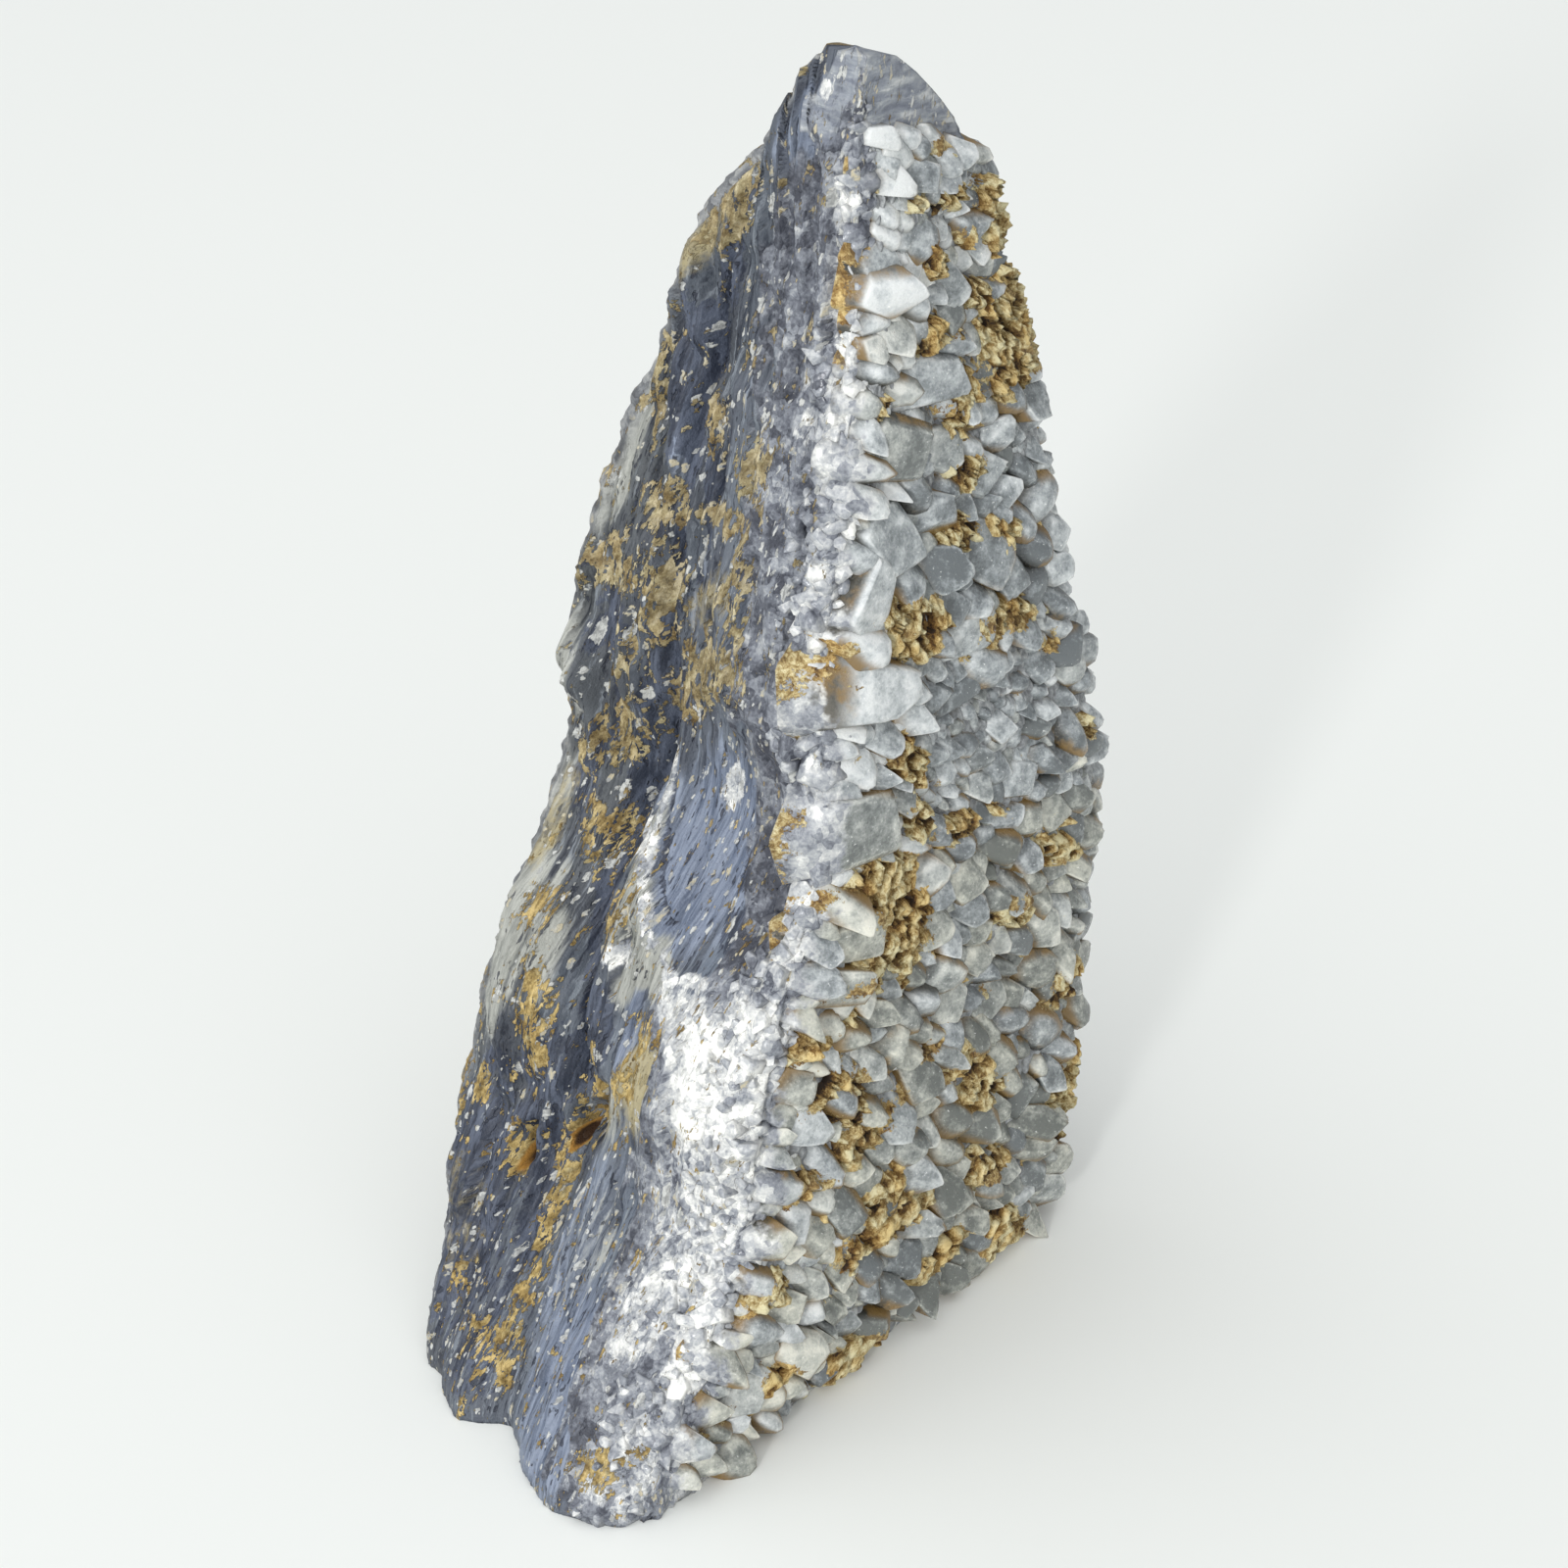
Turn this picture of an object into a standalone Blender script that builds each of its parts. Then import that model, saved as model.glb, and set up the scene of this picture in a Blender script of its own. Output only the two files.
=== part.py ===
"""Rough blue chalcedony: a broken piece of a banded vein, standing on one broken end.

The stone is one solid. Its bands are sheets that lie parallel to the crystal face, so they crop out as
upright ledges on the two broken faces beside it. The crystals are grown together with the rock.

Positions on the stone are given in slab directions: along the crystal face from the ridge, across the
bands into the stone, and up. Shapes are written in shares of the driving dimensions.
"""

import math

import bpy
import numpy as np

# Driving dimensions, in metres
HEIGHT = 0.181
FACE_LENGTH = 0.085
THICKNESS = 0.052
CRYSTAL_SIZE = 0.0066

# Heading of the crystal face and the place of the ridge's foot, seen from above
FACE_HEADING = math.radians(46.6)
RIDGE_FOOT = (-0.0174, -0.0450)

# Edges of the stone as (share of HEIGHT, share of FACE_LENGTH or THICKNESS)
RIDGE_ALONG = ((-0.03, -0.03), (0.0, -0.02), (0.05, 0.06), (0.11, 0.16), (0.17, 0.245), (0.27, 0.305), (0.36, 0.37),
               (0.44, 0.455), (0.55, 0.475), (0.65, 0.505), (0.75, 0.545), (0.85, 0.575), (0.95, 0.58), (1.0, 0.6))
RIGHT_ALONG = ((-0.03, 0.97), (0.0, 1.0), (0.1, 1.06), (0.22, 1.1), (0.35, 1.155), (0.42, 1.14), (0.5, 1.085),
               (0.65, 1.02), (0.79, 0.945), (0.87, 0.87), (0.93, 0.79), (0.96, 0.735), (0.98, 0.665), (1.0, 0.635))
BACK_ACROSS = ((-0.03, 0.86), (0.0, 0.885), (0.07, 0.98), (0.17, 1.1), (0.27, 1.07), (0.36, 1.01), (0.5, 0.99),
               (0.6, 0.95), (0.68, 0.87), (0.8, 0.727), (0.87, 0.62), (0.92, 0.49), (0.96, 0.4), (1.0, 0.3))
FRONT_ACROSS = ((-0.03, -0.055), (0.0, -0.05), (0.08, -0.01), (0.3, 0.05), (0.65, 0.113), (1.0, 0.174))
CORNER_ROUNDING = (0.07, 0.14, 0.2, 0.3, 0.13)
FOOT_ROUNDING = 0.03

# Broken edges of the bands, as shares of THICKNESS from the crystal face
BAND_EDGES = (0.0, 0.08, 0.15, 0.24, 0.31, 0.4, 0.47, 0.56, 0.63, 0.72, 0.8, 0.9, 1.0)
LEDGE_DEPTH = 0.0034
SPLINTER_LENGTH = 0.085
RIGHT_ROUGHNESS = 1.3
TOP_STEP = 0.006

# Relief of the rough wall at the back, and the slow swell of every side
BACK_RELIEF = 0.0095
SWELL = 0.003

# The open seam that parts the recessed outer bands from the rest of the left face
SEAM_ACROSS = ((0.0, 0.53), (0.11, 0.64), (0.16, 0.67), (0.2, 0.62), (0.27, 0.67), (0.35, 0.68), (0.45, 0.63),
               (0.56, 0.51), (0.7, 0.43), (0.82, 0.41), (0.9, 0.34), (1.0, 0.2))
SEAM_DEPTH = ((0.0, 0.003), (0.1, 0.004), (0.3, 0.003), (0.45, 0.005), (0.6, 0.0035), (0.8, 0.002), (1.0, 0.001))
SEAM_HALF_WIDTH = 0.07

# Lumps and hollows of the left face: across, up, half width, half height, relief in metres, edge sharpness
LEFT_FORMS = {
    "front rib": (0.24, 0.04, 0.3, 0.2, 0.0055, 1.0),
    "outer foot": (0.62, 0.0, 0.2, 0.12, 0.0045, 1.0),
    "smooth scoop": (0.3, 0.44, 0.28, 0.11, -0.004, 0.5),
    "white bulge": (0.2, 0.26, 0.26, 0.12, 0.004, 1.0),
    "grey lens": (0.84, 0.29, 0.15, 0.09, 0.003, 0.5),
    "upper knob": (0.84, 0.61, 0.09, 0.03, 0.0045, 1.0),
    "pale knob": (0.83, 0.53, 0.1, 0.045, 0.004, 1.0),
    "seam pit": (0.63, 0.185, 0.05, 0.018, -0.004, 1.0),
    "outer pit": (0.79, 0.158, 0.055, 0.02, -0.003, 1.0),
}

# Places on the crystal face where crystals are larger or smaller: along, up, half length, half height, size factor
SIZE_PATCHES = {
    "blocks beside the ridge": (0.1, 0.66, 0.2, 0.5, 1.3),
    "small nodules": (0.72, 0.5, 0.3, 0.13, 0.62),
    "round lumps": (0.72, 0.64, 0.16, 0.08, 1.2),
    "low shells": (0.5, 0.22, 0.4, 0.12, 1.12),
    "fine top": (0.5, 0.93, 0.8, 0.12, 0.6),
}
CRYSTAL_SEED = 7
CRYSTAL_TRIES = 9000
CRYSTALS_FROM = (0.05, 0.02)
CRYSTALS_TO = (1.18, 0.945)
SUNK_DEPTH = 0.004
SUNK_SPREAD = 1.1
SHOULDER_SHARE = 0.35

# Fineness of the faceted solid
ROW_HEIGHT = 0.0066
FRONT_COLUMNS = 3
RIGHT_COLUMNS = 9
BACK_COLUMNS = 5
LEFT_COLUMNS = 18
BELOW_GROUND = -0.02
TIP_RISE = 0.001


def path(points, up):
    """Smooth curve through hand-chosen points: cubic pieces whose slopes come from the neighbouring points."""
    x, y = np.array(points, dtype=float).T
    slope = np.gradient(y, x)
    i = np.clip(np.searchsorted(x, up) - 1, 0, len(x) - 2)
    step = x[i + 1] - x[i]
    t = (up - x[i]) / step
    start = (1 + 2 * t) * (1 - t) ** 2 * y[i] + t * (1 - t) ** 2 * step * slope[i]
    end = t * t * (3 - 2 * t) * y[i + 1] + t * t * (t - 1) * step * slope[i + 1]
    return start + end


def lattice(i, j, seed):
    """A repeatable number from 0 to 1 for each cell: the fraction of a large sine."""
    wave = np.sin(i * 127.1 + j * 311.7 + seed * 74.7) * 43758.5453
    return wave - np.floor(wave)


def noise(x, y, seed, plateau=0.0):
    """Value noise from 0 to 1: cell numbers blended smoothly, with flat steps of the share plateau."""
    i, j = np.floor(x), np.floor(y)

    def blend(t):
        t = np.clip((t - plateau / 2) / (1 - plateau), 0, 1)
        return t * t * (3 - 2 * t)

    u, v = blend(x - i), blend(y - j)
    low = lattice(i, j, seed) * (1 - u) + lattice(i + 1, j, seed) * u
    high = lattice(i, j + 1, seed) * (1 - u) + lattice(i + 1, j + 1, seed) * u
    return low * (1 - v) + high * v


def corners(up):
    """Corners of the level section in order: ridge, right front, right back, back wall, left back."""
    ridge = path(RIDGE_ALONG, up) * FACE_LENGTH
    right = path(RIGHT_ALONG, up) * FACE_LENGTH
    back = path(BACK_ACROSS, up) * THICKNESS
    front = path(FRONT_ACROSS, up) * THICKNESS
    along = (ridge, right, right - 0.25 * (back - front), 0.5 * (ridge + right), ridge + 0.03 * (back - front))
    across = (front, front + 0.07 * (back - front), 0.82 * back, 1.0 * back, back)
    return np.stack([np.stack(along), np.stack(across)], axis=-1)


def section(around, up):
    """Rounded polygon through the corners: straight sides, and a parabola at each corner."""
    around, up = np.broadcast_arrays(around, up)
    corner = corners(up)
    count = len(corner)
    nearest = np.rint(around).astype(int)
    away = around - nearest
    rounding = np.array(CORNER_ROUNDING)[nearest % count]
    inside = np.clip(away / rounding, -1, 1)
    ahead = np.where(abs(away) < rounding, rounding * ((1 + inside) / 2) ** 2, np.maximum(away, 0))
    behind = np.where(abs(away) < rounding, rounding * ((1 - inside) / 2) ** 2, np.maximum(-away, 0))

    def pick(index):
        return np.take_along_axis(corner, (index % count)[None, ..., None], axis=0)[0]

    here = pick(nearest)
    return here + ahead[..., None] * (pick(nearest + 1) - here) + behind[..., None] * (pick(nearest - 1) - here)


def bump(x, y, half_width, half_height, sharpness):
    """A dome from 1 at its middle to 0 at its rim; a low sharpness keeps the rim crisp."""
    inside = np.clip(1 - (x / half_width) ** 2 - (y / half_height) ** 2, 0, 1)
    return inside ** (1.5 * sharpness)


def ledges(across, up, seed):
    """Each band has broken off at its own depth, which jumps every splinter length. From -0.5 to 0.5."""
    band = np.interp(across, BAND_EDGES, np.arange(len(BAND_EDGES)))
    return noise(band, up / SPLINTER_LENGTH + 2.7 * np.sin(5 * np.floor(band)), seed, plateau=0.7) - 0.5


def side_weight(around, first, last, fade=0.08):
    """1 along the side between two corners, falling to 0 just before them."""
    return np.clip(np.minimum(around - first, last - around) / fade, 0, 1)


def relief(around, up, across):
    """How far the surface stands out from the rounded polygon, in metres."""
    around = around % 5
    left = side_weight(around, 4, 5)
    right = side_weight(around, 1, 2)
    back = side_weight(around, 1.9, 4.1, 0.15)
    seam = np.exp(-((across - path(SEAM_ACROSS, up)) / SEAM_HALF_WIDTH) ** 2) * path(SEAM_DEPTH, up)
    forms = sum(form[4] * bump(across - form[0], up - form[1], form[2], form[3], form[5])
                for form in LEFT_FORMS.values())
    height = left * (LEDGE_DEPTH * ledges(across, up, 1) + forms - seam)
    height += right * RIGHT_ROUGHNESS * LEDGE_DEPTH * ledges(across, up, 2)
    height += back * BACK_RELIEF * (noise(around * 3.7 + up * 2, up * 11 - around, 3, plateau=0.45) - 0.5)
    height += SWELL * (noise(around * 2.5, up * 7, 4) - 0.5)
    return height * np.clip((1 - up) / 0.15, 0, 1)


def stone_point(around, up):
    """Point of the surface in slab directions: the section pushed out by its relief."""
    around, up = np.broadcast_arrays(np.asarray(around, float), np.asarray(up, float))
    point = section(around, up)
    tangent = section(around + 0.02, up) - section(around - 0.02, up)
    outward = np.stack([tangent[..., 1], -tangent[..., 0]], axis=-1)
    outward /= np.linalg.norm(outward, axis=-1, keepdims=True)
    across = point[..., 1] / THICKNESS - path(FRONT_ACROSS, up)
    point = point + outward * relief(around, up, across)[..., None]
    middle = corners(up).mean(axis=0)
    rounding = FOOT_ROUNDING * np.clip(1 - up / 0.03, 0, 1.3) ** 2
    point = middle + (point - middle) * (1 - rounding[..., None])
    near_top = np.clip(np.minimum(up - 0.9, 1.01 - up) / 0.06, 0, 1)
    top_break = TOP_STEP * ledges(across, up * 0, 5) * near_top
    return np.concatenate([point, (up * HEIGHT + top_break)[..., None]], axis=-1)


def to_world(points):
    """Turns slab directions into the part's own frame."""
    along, across, up = np.moveaxis(np.asarray(points), -1, 0)
    c, s = math.cos(FACE_HEADING), math.sin(FACE_HEADING)
    return np.stack([RIDGE_FOOT[0] + along * c - across * s, RIDGE_FOOT[1] + along * s + across * c, up], axis=-1)


def face_frame(share, up):
    """Point, sideways, upward and outward directions of the surface at a share of the crystal face's length."""
    step = 0.012
    point = stone_point(share, up)
    side = section(share + step, up) - section(share - step, up)
    side = np.append(side, 0)
    rise = np.append(section(share, up + step) - section(share, up - step), 2 * step * HEIGHT)
    outward = np.cross(side, rise)
    outward /= np.linalg.norm(outward)
    side /= np.linalg.norm(side)
    return point, side, np.cross(outward, side), outward


def crystal_size(share, up):
    """Size of the crystals at a place, from the patches of larger and smaller ones."""
    size = 1.0
    for along, height, half_length, half_height, factor in SIZE_PATCHES.values():
        size *= 1 + (factor - 1) * bump(share - along, up - height, half_length, half_height, 0.6)
    return size * CRYSTAL_SIZE


def grow_crystals():
    """Sows crystals over the crystal face, each one clear of the last by about their mean size."""
    rng = np.random.default_rng(CRYSTAL_SEED)
    crystals = []
    places = np.empty((0, 3))
    for share, up, chance, turn in rng.random((CRYSTAL_TRIES, 4)):
        share = CRYSTALS_FROM[0] + (CRYSTALS_TO[0] - CRYSTALS_FROM[0]) * share
        up = CRYSTALS_FROM[1] + (CRYSTALS_TO[1] - CRYSTALS_FROM[1]) * up
        size = float(crystal_size(share, up)) * (0.75 + 0.5 * chance)
        place = np.append(section(np.array(share), np.array(up)), up * HEIGHT)
        sizes = np.array([crystal["size"] for crystal in crystals])
        if (np.linalg.norm(places - place, axis=1) < 0.5 * (size + sizes)).any():
            continue
        places = np.vstack([places, place])
        crystals.append({"share": share, "up": up, "size": size, "turn": turn})
    for crystal, (lean_side, lean_up, many, tall) in zip(crystals, rng.random((len(crystals), 4))):
        beside_ridge = np.clip(1 - crystal["share"] / 0.2, 0, 1)
        crystal["sides"] = 4 + int(2.2 * many)
        crystal["height"] = crystal["size"] * (0.52 + 0.34 * tall) * (1 - 0.5 * beside_ridge)
        crystal["lean"] = crystal["size"] * np.array([0.3 * lean_side + 0.25 * beside_ridge, -0.22 * lean_up])
        crystal["distances"] = crystal["size"] * (0.52 + 0.2 * rng.random(crystal["sides"]))
    return crystals


def crystal_corners(crystal):
    """Corners of the crystal's shoulder: where each side plane meets the next."""
    count = crystal["sides"]
    angles = 2 * math.pi * (np.arange(count) + crystal["turn"]) / count
    normals = np.stack([np.cos(angles), np.sin(angles)], axis=-1)
    following = np.roll(normals, -1, axis=0)
    near = crystal["distances"]
    far = np.roll(near, -1)
    cross = normals[:, 0] * following[:, 1] - normals[:, 1] * following[:, 0]
    x = (near * following[:, 1] - far * normals[:, 1]) / cross
    y = (far * normals[:, 0] - near * following[:, 0]) / cross
    return np.stack([x, y], axis=-1)


def new_object(name, points, faces, collection):
    """A mesh object whose points are given in slab directions."""
    mesh = bpy.data.meshes.new(name)
    mesh.from_pydata(to_world(points).tolist(), [], faces)
    mesh.update()
    obj = bpy.data.objects.new(name, mesh)
    collection.objects.link(obj)
    return obj


def make_crystal(index, crystal, collection):
    """A short crystal sunk into the rock: steep sides up to a shoulder, then flat faces that lean to a tip."""
    point, side, rise, outward = face_frame(crystal["share"], crystal["up"])
    ring = crystal_corners(crystal)
    count = len(ring)
    sunk = np.column_stack([SUNK_SPREAD * ring, np.full(count, -SUNK_DEPTH)])
    shoulder = np.column_stack([ring, np.full(count, SHOULDER_SHARE * crystal["height"])])
    tip = np.append(crystal["lean"], crystal["height"])
    faces = [tuple(range(count - 1, -1, -1))]
    for i in range(count):
        j = (i + 1) % count
        faces.append((i, j, count + j, count + i))
        faces.append((count + i, count + j, 2 * count))
    points = point + np.vstack([sunk, shoulder, tip]) @ np.stack([side, rise, outward])
    obj = new_object(f"crystal_{index}", points, faces, collection)
    obj.hide_render = True
    obj.display_type = "WIRE"


def around_columns():
    """Stations of the level section, closest together across the bands of the left face."""
    front = np.linspace(0, 1, FRONT_COLUMNS, endpoint=False)
    right = np.linspace(1, 2, RIGHT_COLUMNS, endpoint=False)
    back = np.linspace(2, 4, 2 * BACK_COLUMNS, endpoint=False)
    left = np.linspace(4, 5, LEFT_COLUMNS, endpoint=False)
    return np.concatenate([front, right, back, left])


def make_body(collection):
    """The banded rock: level sections joined from below the ground to the top, closed at both ends."""
    rows = int(round(HEIGHT / ROW_HEIGHT))
    up = np.concatenate([[BELOW_GROUND], np.linspace(0.004, 0.95, rows), [0.965, 0.978, 0.99, 1.0]])
    around = around_columns()
    points = stone_point(around[None, :], up[:, None])
    count = len(around)
    faces = [tuple(range(count - 1, -1, -1))]
    for row in range(len(up) - 1):
        for i in range(count):
            j = (i + 1) % count
            faces.append((row * count + i, row * count + j, (row + 1) * count + j, (row + 1) * count + i))
    top = points[-1].mean(axis=0) + np.array([0, 0, TIP_RISE])
    last = (len(up) - 1) * count
    faces += [(last + i, last + (i + 1) % count, last + count) for i in range(count)]
    return new_object("chalcedony_stone", np.vstack([points.reshape(-1, 3), top]), faces, collection)


def make_ground_cut(collection):
    """A block whose top is the ground: it trims the foot to the flat face that the stone stands on."""
    half, depth = HEIGHT, 0.3 * HEIGHT
    outline = ((-half, -half), (half, -half), (half, half), (-half, half))
    points = [(x, y, z) for z in (-depth, 0.0) for x, y in outline]
    faces = [(3, 2, 1, 0), (4, 5, 6, 7), (0, 1, 5, 4), (1, 2, 6, 5), (2, 3, 7, 6), (3, 0, 4, 7)]
    mesh = bpy.data.meshes.new("ground_cut")
    mesh.from_pydata(points, [], faces)
    cutter = bpy.data.objects.new("ground_cut", mesh)
    cutter.hide_render = True
    cutter.display_type = "WIRE"
    collection.objects.link(cutter)
    return cutter


def stone_material():
    """Pale blue-grey chalcedony, half matt."""
    material = bpy.data.materials.new("blue_chalcedony")
    material.use_nodes = True
    shader = material.node_tree.nodes["Principled BSDF"]
    shader.inputs["Base Color"].default_value = (0.4, 0.44, 0.5, 1)
    shader.inputs["Roughness"].default_value = 0.55
    shader.inputs["Metallic"].default_value = 0.0
    return material


def main():
    for old in list(bpy.data.objects):
        bpy.data.objects.remove(old, do_unlink=True)
    scene = bpy.context.scene.collection
    crystals = bpy.data.collections.new("crystals")
    scene.children.link(crystals)

    stone = make_body(scene)
    stone.data.materials.append(stone_material())
    for index, crystal in enumerate(grow_crystals()):
        make_crystal(index, crystal, crystals)

    union = stone.modifiers.new("grown together", "BOOLEAN")
    union.operation = "UNION"
    union.operand_type = "COLLECTION"
    union.collection = crystals
    foot = stone.modifiers.new("flat foot", "BOOLEAN")
    foot.operation = "DIFFERENCE"
    foot.object = make_ground_cut(scene)


main()
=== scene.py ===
import math
from types import SimpleNamespace

import bpy
import numpy as np
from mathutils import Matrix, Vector


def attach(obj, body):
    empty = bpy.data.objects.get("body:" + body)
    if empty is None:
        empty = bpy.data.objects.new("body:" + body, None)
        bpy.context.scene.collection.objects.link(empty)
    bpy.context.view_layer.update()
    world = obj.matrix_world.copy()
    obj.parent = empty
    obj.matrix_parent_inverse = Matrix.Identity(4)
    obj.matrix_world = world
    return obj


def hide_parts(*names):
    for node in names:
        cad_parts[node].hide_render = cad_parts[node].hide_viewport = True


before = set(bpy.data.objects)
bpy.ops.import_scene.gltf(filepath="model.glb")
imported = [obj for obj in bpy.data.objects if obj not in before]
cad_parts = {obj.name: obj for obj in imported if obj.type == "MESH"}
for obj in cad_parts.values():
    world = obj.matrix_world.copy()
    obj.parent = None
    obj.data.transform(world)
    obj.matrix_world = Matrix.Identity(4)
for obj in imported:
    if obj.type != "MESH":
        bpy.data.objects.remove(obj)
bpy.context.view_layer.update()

# The banded rock: a broken piece of a chalcedony vein, standing on one broken end. Its bands are sheets
# parallel to the crystal face, so they crop out as upright splintery ledges on the two broken faces, with
# a sugary zone of coarse quartz beside the ridge and the rough vein wall at the back.
MM = 0.001
HEIGHT = 0.181
FACE_LENGTH = 0.085
THICKNESS = 0.052
FACE_HEADING = math.radians(46.6)
RIDGE_FOOT = (-0.0174, -0.0450)

# Corners of a level section, counted round from the ridge
RIGHT_FRONT = 1
RIGHT_BACK = 2
LEFT_BACK = 4
CORNERS = 5

# Edges of the stone as (share of HEIGHT, share of FACE_LENGTH or THICKNESS)
RIDGE_ALONG = (
    (-0.03, -0.03), (0.0, -0.02), (0.05, 0.06), (0.11, 0.16), (0.17, 0.245), (0.27, 0.305),
    (0.36, 0.37), (0.44, 0.455), (0.55, 0.475), (0.65, 0.505), (0.75, 0.545), (0.85, 0.575),
    (0.95, 0.58), (1.0, 0.6),
)
RIGHT_ALONG = (
    (-0.03, 1.02), (0.0, 1.04), (0.05, 1.085), (0.1, 1.11), (0.17, 1.14), (0.25, 1.17),
    (0.3, 1.185), (0.36, 1.175), (0.42, 1.145), (0.5, 1.12), (0.58, 1.06), (0.65, 1.02),
    (0.72, 0.965), (0.79, 0.915), (0.87, 0.865), (0.93, 0.86), (0.96, 0.84), (0.985, 0.78),
    (1.0, 0.67),
)
BACK_ACROSS = (
    (-0.03, 0.86), (0.0, 0.885), (0.07, 0.98), (0.17, 1.1), (0.27, 1.07), (0.36, 1.01),
    (0.5, 0.99), (0.6, 0.95), (0.68, 0.87), (0.8, 0.727), (0.87, 0.62), (0.92, 0.49), (0.96, 0.4),
    (1.0, 0.3),
)
FRONT_ACROSS = (
    (-0.03, -0.03), (0.0, -0.025), (0.08, 0.0), (0.3, 0.05), (0.65, 0.113), (1.0, 0.174),
)

# Rounding of each corner, as a share of the sides beside it, and how the section's sides bow and lean, as
# shares of its depth
CORNER_ROUNDING = (0.07, 0.14, 0.2, 0.3, 0.13)
FOOT_ROUNDING = 0.03
FACE_BOW = 0.07
RIGHT_LEAN = 0.25
RIGHT_DEPTH = 0.82
LEFT_LEAN = 0.03

# How far the outer edge of the left face stands out, as (share of HEIGHT, millimetres)
OUTER_EDGE = (
    (-0.03, -0.4), (0.0, -0.4), (0.06, 0.4), (0.13, 2.0), (0.3, 2.4), (0.45, 2.4), (0.6, 3.2),
    (0.68, 2.8), (0.75, 1.6), (0.83, 2.2), (0.9, 0.0), (1.0, 0.0),
)
OUTER_EDGE_PLACE = 4.05
OUTER_EDGE_HALF_WIDTH = 0.42

# The domed top: how far it falls beyond the ridge, over what length, and how steeply, in metres
TOP_FALL = 0.015
TOP_SPAN = 0.026
TOP_CURVE = 1.7
TOP_STEP = 0.0035

# Ledges: the bands' edges as shares of THICKNESS, a step's depth in metres and its length as a share of
# HEIGHT, and what the right side, the foot, the back and the top make of it
BAND_EDGES = (0.0, 0.08, 0.15, 0.24, 0.31, 0.4, 0.47, 0.56, 0.63, 0.72, 0.8, 0.9, 1.0)
LEDGE_DEPTH = 0.0027
SPLINTER_LENGTH = 0.085
RIGHT_ROUGHNESS = 1.3
FOOT_CALM = 0.07
BACK_RELIEF = 0.0095
SWELL = 0.003
TOP_CALM = 0.15

# The seam, a long hollow down the left face, as (share of HEIGHT, share of THICKNESS) and (share, metres)
SEAM_ACROSS = (
    (0.0, 0.53), (0.11, 0.64), (0.16, 0.67), (0.2, 0.62), (0.27, 0.67), (0.35, 0.68), (0.45, 0.63),
    (0.56, 0.51), (0.7, 0.43), (0.82, 0.41), (0.9, 0.34), (1.0, 0.2),
)
SEAM_DEPTH = (
    (0.0, 0.003), (0.1, 0.004), (0.3, 0.003), (0.45, 0.005), (0.6, 0.0035), (0.8, 0.002),
    (1.0, 0.001),
)
SEAM_HALF_WIDTH = 0.07

# Lumps and hollows of the left face: across, up, half width, half height, relief in metres, edge sharpness
LEFT_FORMS = {
    "front rib": (0.24, 0.04, 0.3, 0.2, 0.0055, 1.0),
    "outer foot": (0.62, 0.0, 0.2, 0.12, 0.0045, 1.0),
    "smooth scoop": (0.3, 0.44, 0.28, 0.11, -0.004, 0.5),
    "white bulge": (0.2, 0.26, 0.26, 0.12, 0.004, 1.0),
    "grey lens": (0.84, 0.29, 0.15, 0.09, 0.003, 0.5),
    "upper knob": (0.84, 0.61, 0.09, 0.03, 0.0045, 1.0),
    "pale knob": (0.83, 0.53, 0.1, 0.045, 0.004, 1.0),
    "seam pit": (0.63, 0.185, 0.05, 0.018, -0.004, 1.0),
    "outer pit": (0.79, 0.158, 0.055, 0.02, -0.003, 1.0),
}

# Fine relief in millimetres: three orders of splinters, and crumbs, each with a width, a length and a depth
SPLINTERS = ((2.1, 19.0, 1.1), (1.0, 9.0, 0.6), (0.55, 4.0, 0.22))
ROW_SHIFT = 2.7
CRUMBS = (1.7, 4.5, 0.5)

# How far the pattern of the bands is shifted, as (share of HEIGHT, millimetres)
BAND_SHIFT = ((0.0, 7.5), (0.1, 5.6), (0.2, 5.6), (0.4, 10.8), (1.0, 27.0))

# Grains of the sugary zone, and its lumps, as (size, height) in millimetres, and how deep they are set in
COARSE_GRAINS = (2.2, 0.5)
FINE_GRAINS = (1.1, 0.22)
GRAINS_SET_IN = 0.4
SUGAR_LUMPS = (6.0, 0.8)
RIDGE_LUMPINESS = 0.8
WHITE_SMOOTHNESS = 0.45

# Depths and heights in millimetres: cracks, pits, films of clay, veins, the vein wall and the broken top
CRACK_DEPTH = 1.3
PIT_DEPTH = 1.7
FILM_STEP = 0.12
VEIN_HEIGHT = 0.5
WALL_RELIEF = 2.6
CAP_RELIEF = 0.7

# Where the coarse quartz beside the ridge ends on the left face, as (share of HEIGHT, millimetres from the
# crystal face)
SUGAR_EDGE = (
    (0.0, 9.5), (0.05, 14.0), (0.11, 17.0), (0.16, 21.0), (0.22, 18.5), (0.3, 19.0), (0.34, 15.5),
    (0.37, 11.5), (0.42, 15.0), (0.5, 16.2), (0.6, 16.0), (0.7, 15.6), (0.8, 15.2), (0.88, 14.0),
    (0.93, 9.0), (0.97, 3.0), (1.0, 0.0),
)

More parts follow.
